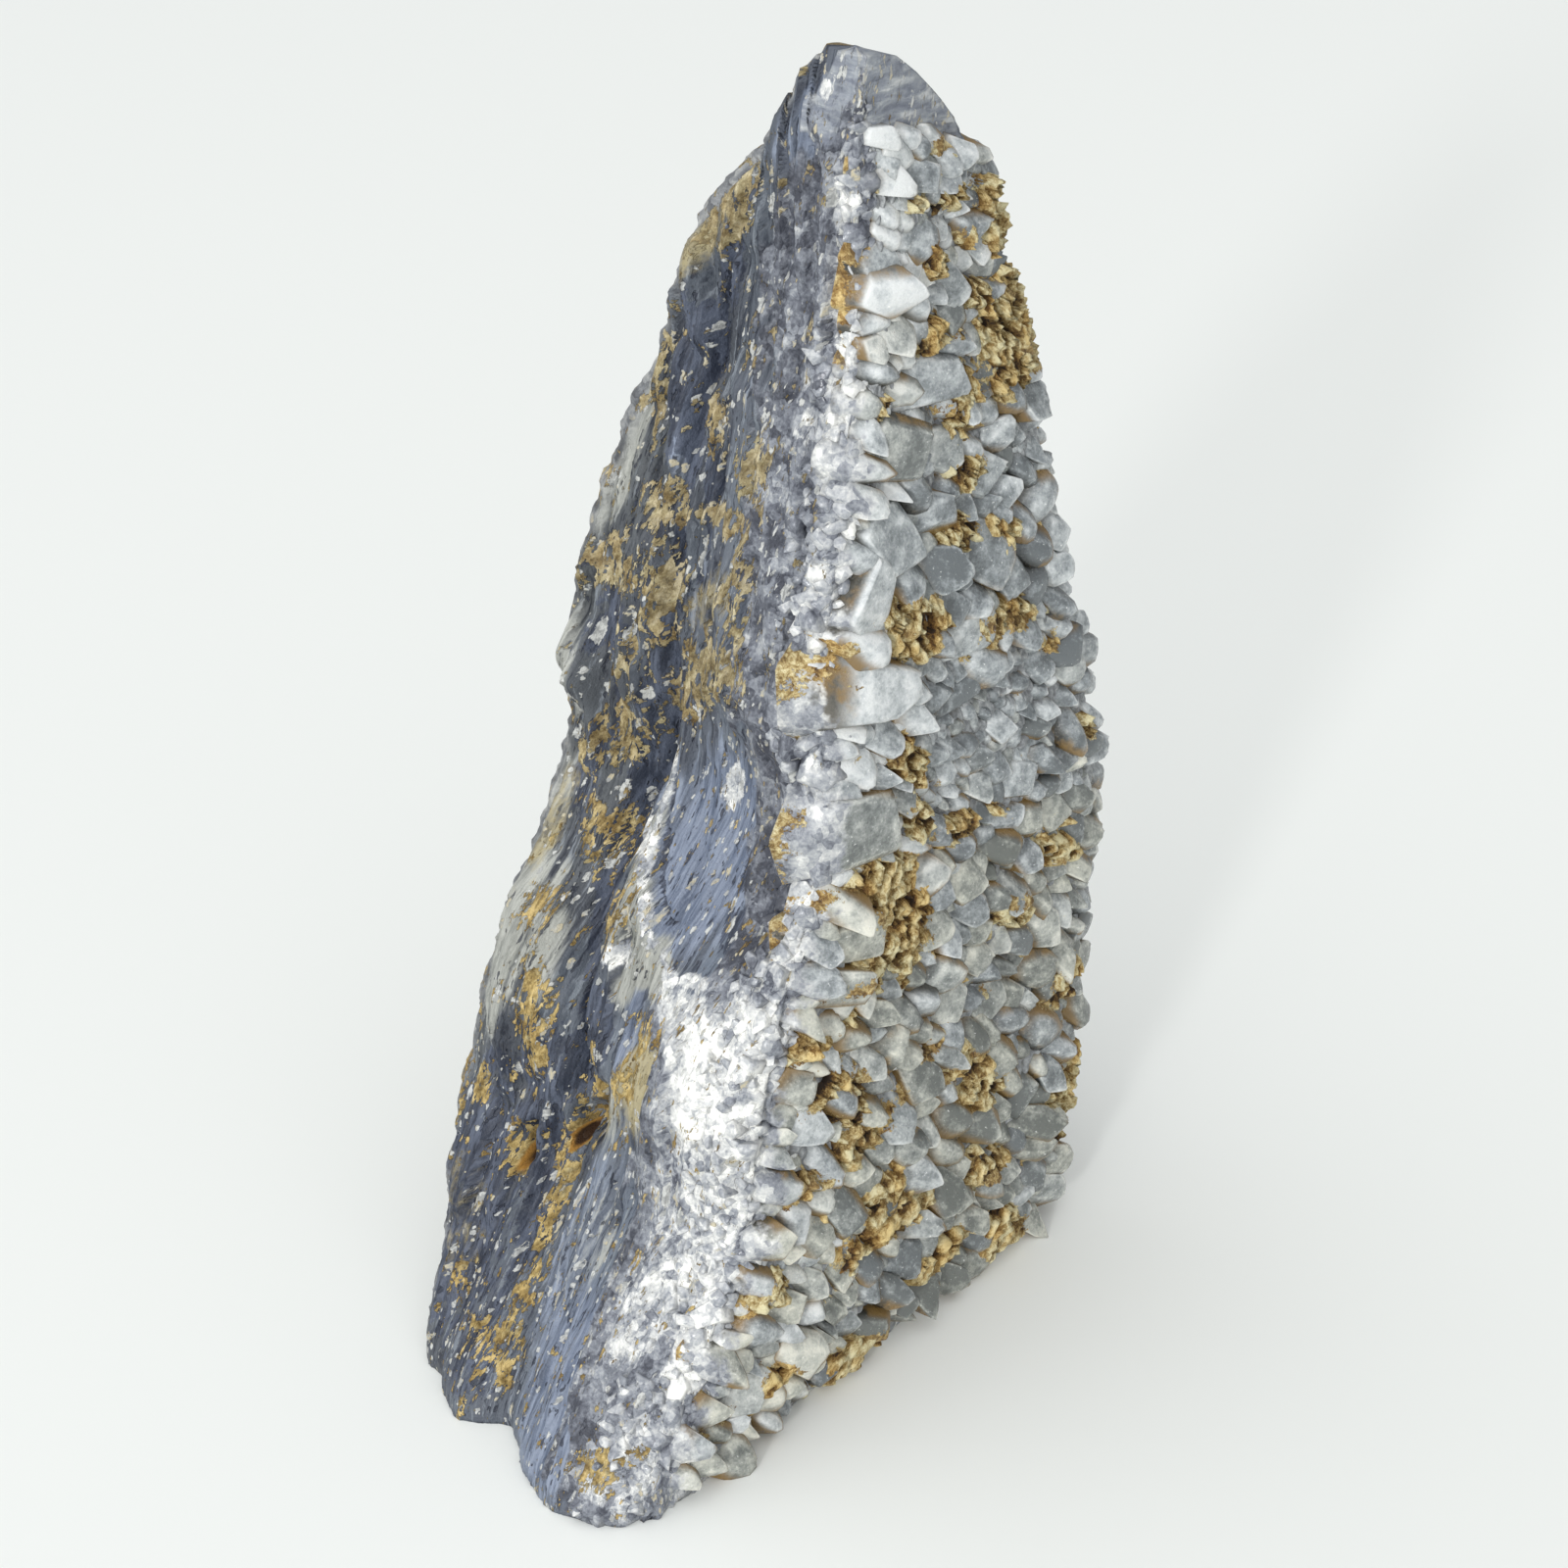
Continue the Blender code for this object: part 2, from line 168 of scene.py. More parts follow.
# Patches on the left face: place from the outer edge (0) to the ridge (1), share of HEIGHT, half width,
# half height, lean and strength
CLAY_ON_BANDS = (
    (0.06, 0.88, 0.12, 0.03, -1.0, 0.9), (0.17, 0.865, 0.07, 0.018, 1.0, 1.0),
    (0.09, 0.74, 0.035, 0.04, -1.5, 0.8), (0.33, 0.905, 0.03, 0.006, 0, 0.8),
    (0.45, 0.785, 0.06, 0.008, 0, 0.75), (0.78, 0.818, 0.03, 0.008, 0, 0.9),
    (0.57, 0.805, 0.05, 0.006, 0, 0.7), (0.35, 0.73, 0.03, 0.025, -1.5, 0.8),
    (0.6, 0.715, 0.08, 0.02, 1.5, 1.0), (0.62, 0.695, 0.06, 0.01, 0, 0.8),
    (0.27, 0.665, 0.07, 0.02, -1, 0.95), (0.5, 0.665, 0.13, 0.01, 3.0, 1.0),
    (0.64, 0.62, 0.04, 0.04, 0, 0.9), (0.17, 0.61, 0.14, 0.018, 0, 1.0),
    (0.05, 0.6, 0.1, 0.015, 0, 0.8), (0.33, 0.6, 0.05, 0.05, -0.5, 0.85),
    (0.52, 0.55, 0.14, 0.035, 2.6, 1.1), (0.4, 0.51, 0.08, 0.015, 1.0, 1.0),
    (0.24, 0.545, 0.06, 0.025, 1.0, 0.8), (0.24, 0.48, 0.06, 0.03, 0.5, 1.0),
    (0.13, 0.455, 0.05, 0.02, 0, 0.8), (0.22, 0.4, 0.06, 0.03, -0.8, 0.8),
    (0.16, 0.345, 0.05, 0.015, 0, 0.9), (0.37, 0.36, 0.06, 0.03, 1.0, 0.7),
    (0.24, 0.27, 0.05, 0.035, -0.4, 1.15), (0.27, 0.225, 0.04, 0.015, 0.6, 0.8),
    (0.6, 0.29, 0.08, 0.015, 1.0, 0.9), (0.56, 0.25, 0.04, 0.03, 1.5, 0.8),
    (0.44, 0.2, 0.03, 0.03, 1.0, 0.75), (0.11, 0.19, 0.03, 0.015, 0, 0.8),
    (0.25, 0.155, 0.03, 0.02, -0.7, 0.95), (0.37, 0.17, 0.025, 0.03, 0.5, 0.95),
    (0.35, 0.12, 0.015, 0.03, 0.5, 0.8), (0.37, 0.08, 0.04, 0.015, 0, 0.9),
    (0.33, 0.05, 0.1, 0.01, -1, 0.7), (0.14, 0.06, 0.02, 0.02, -0.5, 0.8),
    (0.39, 0.035, 0.03, 0.01, 0, 0.9), (0.87, 0.042, 0.06, 0.014, 0.8, 1.05),
    (0.62, 0.06, 0.015, 0.005, 0, 0.7), (0.9, 0.7, 0.03, 0.012, 0, 0.6),
    (0.7, 0.905, 0.07, 0.006, 1.0, 0.7),
)
WHITE_QUARTZ = (
    (0.93, 0.22, 0.08, 0.12, 0.5, 0.9), (0.97, 0.12, 0.05, 0.06, 0.0, 0.9),
    (0.76, 0.32, 0.16, 0.02, -0.6, 0.9), (0.92, 0.33, 0.09, 0.04, 0.0, 1.0),
    (0.98, 0.4, 0.03, 0.05, 0.0, 0.7), (0.88, 0.475, 0.08, 0.018, 1.5, 0.8),
    (0.6, 0.465, 0.04, 0.025, 1.0, 0.75), (0.35, 0.405, 0.06, 0.014, -1.0, 0.85),
    (0.95, 0.66, 0.05, 0.06, -0.3, 0.5), (0.8, 0.76, 0.05, 0.04, -0.6, 0.5),
    (0.95, 0.75, 0.05, 0.05, 0.0, 0.5), (0.9, 0.905, 0.12, 0.02, 0.0, 0.75),
    (0.9, 0.86, 0.08, 0.05, 0.0, 0.65), (0.75, 0.88, 0.05, 0.02, 0.0, 0.6),
    (0.95, 0.53, 0.05, 0.05, 0.0, 0.45), (0.92, 0.03, 0.08, 0.02, 0.0, 0.6),
    # The patch at 0.42, 0.978 is a painted highlight at the left of the top's tip, not white quartz
    (0.96, 0.6, 0.04, 0.05, 0.0, 0.5), (0.42, 0.978, 0.12, 0.012, 0.0, 0.7),
    (0.42, 0.33, 0.05, 0.012, 0.0, 0.6), (0.84, 0.13, 0.12, 0.05, 0.5, 0.6),
    (0.95, 0.05, 0.08, 0.05, 0.0, 0.55), (0.86, 0.285, 0.12, 0.05, 0.0, 1.1),
    (0.82, 0.2, 0.1, 0.06, 0.5, 0.55), (0.96, 0.8, 0.07, 0.09, 0.0, 0.65),
)
DARK_BANDS = (
    (0.2, 0.85, 0.05, 0.05, -1.2, 0.9), (0.21, 0.76, 0.09, 0.06, -1.5, 0.9),
    (0.4, 0.685, 0.04, 0.025, -1.0, 0.9), (0.34, 0.66, 0.02, 0.03, -0.5, 0.9),
    (0.34, 0.55, 0.025, 0.06, 0.8, 1.0), (0.28, 0.46, 0.03, 0.05, 0.6, 1.0),
    (0.27, 0.385, 0.03, 0.04, -0.5, 0.9), (0.41, 0.28, 0.05, 0.035, -1.0, 1.1),
    (0.35, 0.23, 0.03, 0.03, -0.4, 0.8), (0.29, 0.165, 0.07, 0.03, -0.6, 0.9),
    (0.33, 0.11, 0.02, 0.04, -0.4, 0.8), (0.15, 0.215, 0.05, 0.02, 0.0, 0.9),
    (0.82, 0.43, 0.12, 0.03, 1.5, 1.1), (0.8, 0.38, 0.1, 0.02, 1.0, 1.0),
    (0.8, 0.52, 0.07, 0.03, 0.0, 0.9), (0.2, 0.57, 0.1, 0.03, 1.0, 0.7),
    (0.12, 0.44, 0.08, 0.05, 0.0, 0.6), (0.3, 0.04, 0.1, 0.03, 0.0, 0.6),
    (0.13, 0.11, 0.16, 0.1, 0.0, 0.78), (0.3, 0.22, 0.1, 0.05, 0.0, 0.75),
    (0.88, 0.37, 0.05, 0.015, 1.0, 0.7), (0.9, 0.705, 0.03, 0.015, 0.0, 0.8),
)
PALE_OUTER = (
    (0.02, 0.7, 0.09, 0.07, -0.5, 1.0), (0.05, 0.52, 0.07, 0.05, 0.0, 0.9),
    (0.08, 0.31, 0.1, 0.075, -0.3, 1.0), (0.2, 0.33, 0.05, 0.045, -1.2, 0.8),
    (0.66, 0.27, 0.1, 0.055, 1.2, 0.8), (0.5, 0.21, 0.08, 0.04, 1.0, 0.6),
    (0.55, 0.13, 0.12, 0.05, 0.5, 0.45), (0.04, 0.42, 0.06, 0.04, 0, 0.6),
    (0.37, 0.43, 0.028, 0.05, -0.6, 1.1), (0.42, 0.37, 0.05, 0.035, -1.6, 1.2),
    (0.52, 0.335, 0.12, 0.02, -1.5, 1.2), (0.47, 0.32, 0.05, 0.03, 0, 0.9),
)
CLEAR_BLUE = (
    (0.58, 0.42, 0.16, 0.075, 0.3, 1.1), (0.37, 0.445, 0.06, 0.03, 0.5, 0.8),
    (0.51, 0.3, 0.04, 0.07, -0.5, 0.8), (0.68, 0.06, 0.2, 0.06, 0.3, 1.0),
    (0.5, 0.12, 0.1, 0.08, 0.6, 0.6), (0.24, 0.73, 0.04, 0.05, -1.2, 0.6),
    (0.45, 0.82, 0.08, 0.08, -0.5, 0.35), (0.9, 0.1, 0.1, 0.05, 0.0, 0.5),
    (0.45, 0.6, 0.06, 0.04, 0.5, 0.5), (0.35, 0.95, 0.3, 0.05, 0.0, 0.6),
    (0.7, 0.965, 0.4, 0.035, 0.0, 0.6),
)
TINTS = (
    (0.64, 0.265, 0.1, 0.05, 1.2, 1.0), (0.46, 0.205, 0.06, 0.03, 1.0, 0.8),
    (0.06, 0.4, 0.05, 0.05, 0, 0.6), (0.1, 0.1, 0.1, 0.05, 0, 0.4),
    (0.05, 0.86, 0.1, 0.04, 0, 0.7), (0.5, 0.6, 0.1, 0.04, 2, 0.5),
)
PITS = ((0.375, 0.168, 0.013, 0.009, 0.9, 1.2), (0.262, 0.148, 0.014, 0.0095, 0.6, 1.1))

# Lines on the left face: half width in millimetres, strength, then points as (place, up)
LEFT_WIDTH = 48.0
PALE_LINES = (
    (0.9, 0.72, (0.375, 0.478), (0.383, 0.425), (0.42, 0.388), (0.5, 0.355), (0.62, 0.336),
     (0.74, 0.345)),
    (0.6, 0.7, (0.345, 0.4), (0.37, 0.43), (0.375, 0.478)),
)
CLAY_LINES = (
    (0.55, 1.1, (0.35, 0.1), (0.37, 0.15), (0.4, 0.2), (0.42, 0.26)),
    (0.6, 0.9, (0.0, 0.72), (0.06, 0.765), (0.12, 0.785)),
    (0.5, 0.9, (0.5, 0.57), (0.6, 0.64), (0.66, 0.71)),
    (0.5, 0.8, (0.3, 0.0), (0.35, 0.05), (0.38, 0.09)),
)
CRACKS = (
    (0.8, 1.1, (0.2, 0.87), (0.25, 0.78), (0.31, 0.7), (0.355, 0.62), (0.36, 0.52), (0.31, 0.45),
     (0.28, 0.4), (0.275, 0.355), (0.33, 0.3), (0.37, 0.27)),
    (0.6, 1.0, (0.37, 0.27), (0.36, 0.21), (0.33, 0.165), (0.32, 0.1), (0.3, 0.05)),
    (0.4, 0.9, (0.17, 0.66), (0.2, 0.61), (0.22, 0.55), (0.19, 0.47)),
    (0.4, 0.9, (0.41, 0.72), (0.43, 0.66), (0.42, 0.61)),
    (0.35, 0.9, (0.39, 0.475), (0.4, 0.43), (0.45, 0.385), (0.54, 0.362)),
)

# Points of the rock's mesh: along each side, up, and in the rings that close the top
LEFT_COLUMNS = 132
FRONT_STRIP = 0.16
STRIP_COLUMNS = 22
FRONT_COLUMNS = 9
RIGHT_COLUMNS = 46
BACK_COLUMNS = 22
ROCK_ROWS = 368
CAP_RINGS = 5
CAP_RISE = 0.0006
TIP_RISE = 0.0007


def path(points, up):
    """Smooth curve through given points, in cubic pieces with slopes from the points beside them."""
    x, y = np.array(points, dtype=float).T
    slope = np.gradient(y, x)
    i = np.clip(np.searchsorted(x, up) - 1, 0, len(x) - 2)
    span = x[i + 1] - x[i]
    t = (up - x[i]) / span
    start = (1 + 2 * t) * (1 - t) ** 2 * y[i] + t * (1 - t) ** 2 * span * slope[i]
    end = t * t * (3 - 2 * t) * y[i + 1] + t * t * (t - 1) * span * slope[i + 1]
    return start + end


def ramp(low, high, value):
    """0 below low and 1 above high, with a smooth cubic rise between them."""
    t = np.clip((value - low) / (high - low), 0, 1)
    return t * t * (3 - 2 * t)


def lattice(i, j, seed):
    """A repeatable number from 0 to 1 for each cell: the fraction of a large sine."""
    wave = np.sin(i * 127.1 + j * 311.7 + seed * 74.7) * 43758.5453
    return wave - np.floor(wave)


def noise(x, y, seed, plateau=0.0):
    """Value noise from 0 to 1: cell numbers blended smoothly, with flat steps of the share plateau."""
    i, j = np.floor(x), np.floor(y)

    def eased(t):
        """0 to 1 with a smooth cubic rise, level for half the plateau at either end."""
        t = np.clip((t - plateau / 2) / (1 - plateau), 0, 1)
        return t * t * (3 - 2 * t)

    u, v = eased(x - i), eased(y - j)
    low = lattice(i, j, seed) * (1 - u) + lattice(i + 1, j, seed) * u
    high = lattice(i, j + 1, seed) * (1 - u) + lattice(i + 1, j + 1, seed) * u
    return low * (1 - v) + high * v


def fractal(x, y, seed, octaves=3):
    """Sum of value noises, each twice as fine and half as strong as the one before, brought to 0 to 1."""
    layers = [noise(x * 2**k, y * 2**k, seed + 11 * k) / 2**k for k in range(octaves)]
    return sum(layers) / sum(0.5**k for k in range(octaves))


def cells(x, y, seed):
    """Distance to the nearest of the shaken points, one in each unit cell, and that point's own number."""
    i, j = np.floor(x), np.floor(y)
    nearest = np.full(np.broadcast(x, y).shape, 9.0)
    number = np.zeros_like(nearest)
    for di in (-1, 0, 1):
        for dj in (-1, 0, 1):
            px = i + di + 0.15 + 0.7 * lattice(i + di, j + dj, seed)
            py = j + dj + 0.15 + 0.7 * lattice(i + di, j + dj, seed + 5)
            distance = np.hypot(x - px, y - py)
            closer = distance < nearest
            nearest = np.where(closer, distance, nearest)
            number = np.where(closer, lattice(i + di, j + dj, seed + 9), number)
    return nearest, number


def patches(x, y, places):
    """Field of leaning ellipses: full in the middle, half on the outline, and 0 from half as far again."""
    field = np.zeros(np.broadcast(x, y).shape)
    for x0, y0, half_width, half_height, lean, strength in places:
        distance = np.hypot((x - x0 - lean * (y - y0)) / half_width, (y - y0) / half_height)
        field = np.maximum(field, strength * np.clip(1.5 - distance, 0, 1))
    return field


def strokes(x, y, lines):
    """Field of drawn lines: full in the middle, half at the half width, and 0 from half as far again."""
    field = np.zeros(np.broadcast(x, y).shape)
    for half_width, strength, *points in lines:
        for (x0, y0), (x1, y1) in zip(points, points[1:]):
            dx, dy = (x1 - x0) * LEFT_WIDTH, (y1 - y0) * HEIGHT / MM
            px, py = (x - x0) * LEFT_WIDTH, (y - y0) * HEIGHT / MM
            t = np.clip((px * dx + py * dy) / (dx * dx + dy * dy), 0, 1)
            distance = np.hypot(px - t * dx, py - t * dy)
            field = np.maximum(field, strength * np.clip(1.5 - distance / half_width, 0, 1))
    return field


def corners(up):
    """Corners of the level section in order: ridge, right front, right back, back wall, left back."""
    ridge = path(RIDGE_ALONG, up) * FACE_LENGTH
    right = path(RIGHT_ALONG, up) * FACE_LENGTH
    back = path(BACK_ACROSS, up) * THICKNESS
    front = path(FRONT_ACROSS, up) * THICKNESS
    deep = back - front
    along = (ridge, right, right - RIGHT_LEAN * deep, 0.5 * (ridge + right), ridge + LEFT_LEAN * deep)
    across = (front, front + FACE_BOW * deep, RIGHT_DEPTH * back, back, back)
    return np.stack([np.stack(along), np.stack(across)], axis=-1)


def section(around, up):
    """Rounded polygon through the corners: straight sides, and a parabola at each corner."""
    around, up = np.broadcast_arrays(around, up)
    corner = corners(up)
    nearest = np.rint(around).astype(int)
    away = around - nearest
    rounding = np.array(CORNER_ROUNDING)[nearest % CORNERS]
    near = abs(away) < rounding
    inside = np.clip(away / rounding, -1, 1)
    ahead = np.where(near, rounding * ((1 + inside) / 2) ** 2, np.maximum(away, 0))[..., None]
    behind = np.where(near, rounding * ((1 - inside) / 2) ** 2, np.maximum(-away, 0))[..., None]

    def pick(index):
        """The corner of a number, at each point's own height."""
        return np.take_along_axis(corner, (index % CORNERS)[None, ..., None], axis=0)[0]

    here = pick(nearest)
    return here + ahead * (pick(nearest + 1) - here) + behind * (pick(nearest - 1) - here)


def bump(x, y, half_width, half_height, sharpness):
    """A dome from 1 at its middle to 0 at its rim; a low sharpness keeps the rim crisp."""
    inside = np.clip(1 - (x / half_width) ** 2 - (y / half_height) ** 2, 0, 1)
    return inside ** (1.5 * sharpness)


def row_shift(row):
    """How far a row of splinters is shifted along: a sine of its number, so that no two break together."""
    return ROW_SHIFT * np.sin(5 * np.floor(row))


def ledges(across, up, seed):
    """Each band has broken off at its own depth, which jumps every splinter length. From -0.5 to 0.5."""
    band = np.interp(across, BAND_EDGES, np.arange(len(BAND_EDGES)))
    return noise(band, up / SPLINTER_LENGTH + row_shift(band), seed, plateau=0.7) - 0.5


def side_weight(around, first, last, fade=0.08):
    """1 along the side between two corners, falling to 0 just before them."""
    return np.clip(np.minimum(around - first, last - around) / fade, 0, 1)


def relief(around, up, across):
    """How far the large forms stand out from the polygon, in metres: steps, domes, a seam and swells."""
    around = around % CORNERS
    left = side_weight(around, LEFT_BACK, CORNERS)
    right = side_weight(around, RIGHT_FRONT, RIGHT_BACK)
    back = side_weight(around, 1.9, 3.98, 0.2)
    seam = np.exp(-((across - path(SEAM_ACROSS, up)) / SEAM_HALF_WIDTH) ** 2) * path(SEAM_DEPTH, up)
    forms = sum(form[4] * bump(across - form[0], up - form[1], form[2], form[3], form[5])
                for form in LEFT_FORMS.values())
    steps = LEDGE_DEPTH * ledges(across, up, 1) * (0.3 + 0.7 * ramp(0, FOOT_CALM, up))
    height = left * (steps + forms - seam)
    height += right * RIGHT_ROUGHNESS * LEDGE_DEPTH * ledges(across, up, 2)
    height += back * BACK_RELIEF * (noise(around * 3.7 + up * 2, up * 11 - around, 3, plateau=0.45) - 0.5)
    height += SWELL * (noise(around * 2.5, up * 7, 4) - 0.5)
    outer_edge = bump(around - OUTER_EDGE_PLACE, up * 0, OUTER_EDGE_HALF_WIDTH, 1.0, 1.0)
    height += path(OUTER_EDGE, up) * MM * outer_edge
    return height * np.clip((1 - up) / TOP_CALM, 0, 1)


def surface_point(around, up, extra=0.0):
    """Point of the surface in slab directions: the section pushed out by its relief and an extra height."""
    around, up = np.broadcast_arrays(np.asarray(around, float), np.asarray(up, float))
    point = section(around, up)
    tangent = section(around + 0.02, up) - section(around - 0.02, up)
    outward = np.stack([tangent[..., 1], -tangent[..., 0]], axis=-1)
    outward /= np.linalg.norm(outward, axis=-1, keepdims=True)
    across = point[..., 1] / THICKNESS - path(FRONT_ACROSS, up)
    point = point + outward * (relief(around, up, across) + extra)[..., None]
    middle = corners(up).mean(axis=0)
    rounding = FOOT_ROUNDING * np.clip(1 - up / 0.03, 0, 1.3) ** 2
    point = middle + (point - middle) * (1 - rounding[..., None])
    near_top = np.clip(np.minimum(up - 0.9, 1.01 - up) / 0.06, 0, 1)
    top_break = TOP_STEP * ledges(across, up * 0, 5) * near_top
    beyond_ridge = np.maximum(point[..., 0] - path(RIDGE_ALONG, up) * FACE_LENGTH, 0)
    top_break = top_break - TOP_FALL * (beyond_ridge / TOP_SPAN) ** TOP_CURVE * ramp(0.88, 1.0, up)
    return np.concatenate([point, (up * HEIGHT + top_break)[..., None]], axis=-1)


def to_world(points):
    """Turns slab directions into the stone's own frame."""
    along, across, up = np.moveaxis(np.asarray(points), -1, 0)
    c, s = math.cos(FACE_HEADING), math.sin(FACE_HEADING)
    x = RIDGE_FOOT[0] + along * c - across * s
    y = RIDGE_FOOT[1] + along * s + across * c
    return np.stack([x, y, up], axis=-1)


def splinters(band, z, width, length, seed):
    """Splinters of a band: flat steps of a width and length, each row shifted along. From -0.5 to 0.5."""
    row = band / width
    return noise(row, z / length + row_shift(row), seed, plateau=0.62) - 0.5


def rock_places(around, up):
    """Where each point lies: in shares, in millimetres on the bands, and on which sides, as masks."""
    around, up = np.broadcast_arrays(around, up)
    place = section(around, up)
    across = place[..., 1] / THICKNESS - path(FRONT_ACROSS, up)
    along = place[..., 0] / MM
    deep = across * THICKNESS / MM
    beyond_ridge = np.maximum(along - path(RIDGE_ALONG, up) * FACE_LENGTH / MM, 0)
    x = (around - LEFT_BACK + CORNERS / 2) % CORNERS - CORNERS / 2
    return SimpleNamespace(
        up=up, across=across, along=along, deep=deep, beyond_ridge=beyond_ridge, x=x, z=up * HEIGHT / MM,
        band=deep - beyond_ridge * (around < 1.5) + path(BAND_SHIFT, up),
        on_left=ramp(-0.06, 0.02, x) * (1 - ramp(1.02, 1.12, x)),
        on_right=side_weight(around, 0.96, 2.02, 0.1),
        on_back=side_weight(around, 1.95, 4.06, 0.12),
        on_front=side_weight(around % CORNERS, 0.0, 1.0, 0.05),
        ridge_strip=1 - ramp(1.1, 1.2, x))


def splinter_relief(at, broken):
    """Flat splinters of three orders on the broken sides, and crumbs between them, in millimetres."""
    height = sum(depth * splinters(at.band, at.z, width, length, 40 + k) * broken
                 for k, (width, length, depth) in enumerate(SPLINTERS))
    width, length, depth = CRUMBS
    return height + depth * (fractal(at.band / width, at.z / length, 58, 3) - 0.5) * broken


def sugar_relief(at, white):
    """Round grains of two sizes on broad lumps, high by the ridge and low where white, in millimetres."""
    band = at.band - 0.4 * at.beyond_ridge
    coarse, low = COARSE_GRAINS
    fine, lowest = FINE_GRAINS
    near, number = cells(band / coarse, at.z / coarse + 0.2 * band, 51)
    fine_near, fine_number = cells(band / fine + 0.3 * at.z, at.z / fine, 52)
    grains = low * (1 - near**2) * (0.3 + number) + lowest * (1 - fine_near**2) * (0.3 + fine_number)
    grains = grains - GRAINS_SET_IN
    size, rise_of_lumps = SUGAR_LUMPS
    grains += rise_of_lumps * (fractal(band / size, at.z / size, 57, 3) - 0.5)
    lumpy = 1 + RIDGE_LUMPINESS * ramp(0.82, 0.98, at.x) * (1 - ramp(1.1, 1.2, at.x))
    return grains * lumpy * (1 - WHITE_SMOOTHNESS * np.clip(white, 0, 1))


def wall_relief(at):
    """The vein wall: lumps of about 5 mm with grains of about 1.6 mm on them, in millimetres."""
    lumps = fractal(at.along / 5, at.z / 5, 53, 4) - 0.5
    return WALL_RELIEF * (lumps + 0.5 * (fractal(at.along / 1.6, at.z / 1.6, 54, 3) - 0.5))


def cap_relief(at):
    """The broken top: thin level layers on the front, and grains all over, in millimetres."""
    layers = noise(at.along / 8 + 0.1 * at.z, at.z / 1.3 + at.along / 14, 59, plateau=0.5) - 0.5
    return CAP_RELIEF * (layers * at.on_front + fractal(at.along / 2.5, at.z / 1.5, 60, 3) - 0.5)


def rock_fields(around, up):
    """Finish of every point: masks from patches, lines and noise, and the fine relief in metres."""
    at = rock_places(around, up)
    x, up, z, band, along = at.x, at.up, at.z, at.band, at.along
    ragged = fractal(band / 2.6, z / 7.0, 21, 3) - 0.5
    tear = fractal(band / 1.1, z / 3.2, 22, 3) - 0.5

    cap = np.maximum(at.on_front, at.on_left * ramp(0.2, 0.45, x)) * ramp(0.925, 0.95, up + 0.03 * ragged)
    sugar = ramp(-2.5, 2.5, path(SUGAR_EDGE, up) - at.deep + 10 * ragged) * at.on_left
    sugar = np.maximum(sugar, at.on_front * (1 - cap))
    sugar = np.maximum(sugar, at.on_right * ramp(-1.5, 1.5, 9 - at.deep + 12 * ragged))

    clay = np.maximum(patches(x, up, CLAY_ON_BANDS), strokes(x, up, CLAY_LINES)) * at.on_left
    wall_clay = ramp(0.42, 0.75, fractal(along / 11 + 4, z / 15, 31, 4)) * at.on_back
    side_clay = ramp(0.55, 0.8, fractal(band / 5 + 3, z / 17, 32, 3)) * at.on_right
    clay = np.maximum(np.maximum(clay, wall_clay), side_clay)

    veins = strokes(x, up, PALE_LINES)
    beside_ridge = ramp(0.7, 0.97, x) * at.on_left
    white = np.maximum(patches(x, up, WHITE_QUARTZ), veins) * at.on_left
    white = np.maximum(white, 0.6 * at.on_front * (1 - ramp(0.85, 0.97, up)))
    white = np.maximum(white, 0.34 * beside_ridge * (1 - ramp(0.9, 0.94, up)) * ramp(0.4, 0.55, up))

    dark = patches(x, up, DARK_BANDS) * at.on_left
    dark = dark + 0.6 * at.on_right * ramp(0.5, 0.8, fractal(band / 7, z / 40, 33))
    blue = patches(x, up, CLEAR_BLUE) * at.on_left
    blue = blue + 0.6 * at.on_right * ramp(0.5, 0.8, fractal(band / 6, z / 50, 34))
    crack = strokes(x + 0.05 * ragged, up, CRACKS) * at.on_left
    pit = patches(x, up, PITS) * at.on_left
    scoop = bump(at.across - 0.33, up - 0.435, 0.26, 0.1, 0.15) * at.on_left

    broken = np.clip(at.on_left + at.on_right, 0, 1) * (1 - 0.85 * scoop) * (1 - 0.75 * sugar)
    broken = broken * (0.2 + 0.8 * ramp(0.0, 0.06, up)) * (1 - 0.75 * cap)
    height = splinter_relief(at, broken)
    height = height + sugar * sugar_relief(at, white) * np.maximum(1 - at.on_front, at.ridge_strip)
    height = height + at.on_back * wall_relief(at)
    height = height + FILM_STEP * ramp(0.45, 0.55, clay + 1.6 * ragged + 1.6 * tear)
    height = height - CRACK_DEPTH * crack - PIT_DEPTH * ramp(0.3, 1.0, pit)
    height = height + VEIN_HEIGHT * veins * at.on_left
    height = height + cap * cap_relief(at)
    height = height * np.clip((1 - up) / 0.02, 0, 1) * MM
    fields = {
        "sugar": sugar, "clay": clay, "white": white, "dark": np.clip(dark + crack, 0, 1.2), "blue": blue,
        "pale": patches(x, up, PALE_OUTER) * at.on_left, "wall": at.on_back, "pit": pit, "cap": cap,
        "tint": patches(x, up, TINTS) * at.on_left,
    }
    return fields, np.stack([band, z, along], axis=-1), height


def mesh_piece(name, points, faces, values, vectors=None):
    """A mesh object from arrays, with its values stored as point attributes, in the stone's own frame."""
    mesh = bpy.data.meshes.new(name)
    mesh.from_pydata(points.reshape(-1, 3).tolist(), [], faces)
    for key, value in values.items():
        attribute = mesh.attributes.new(key, "FLOAT", "POINT")
        attribute.data.foreach_set("value", np.asarray(value, np.float32).ravel())
    for key, value in (vectors or {}).items():
        attribute = mesh.attributes.new(key, "FLOAT_VECTOR", "POINT")
        attribute.data.foreach_set("vector", np.asarray(value, np.float32).ravel())
    mesh.shade_smooth()
    mesh.update()
    piece = bpy.data.objects.new(name, mesh)
    bpy.context.scene.collection.objects.link(piece)
    return piece


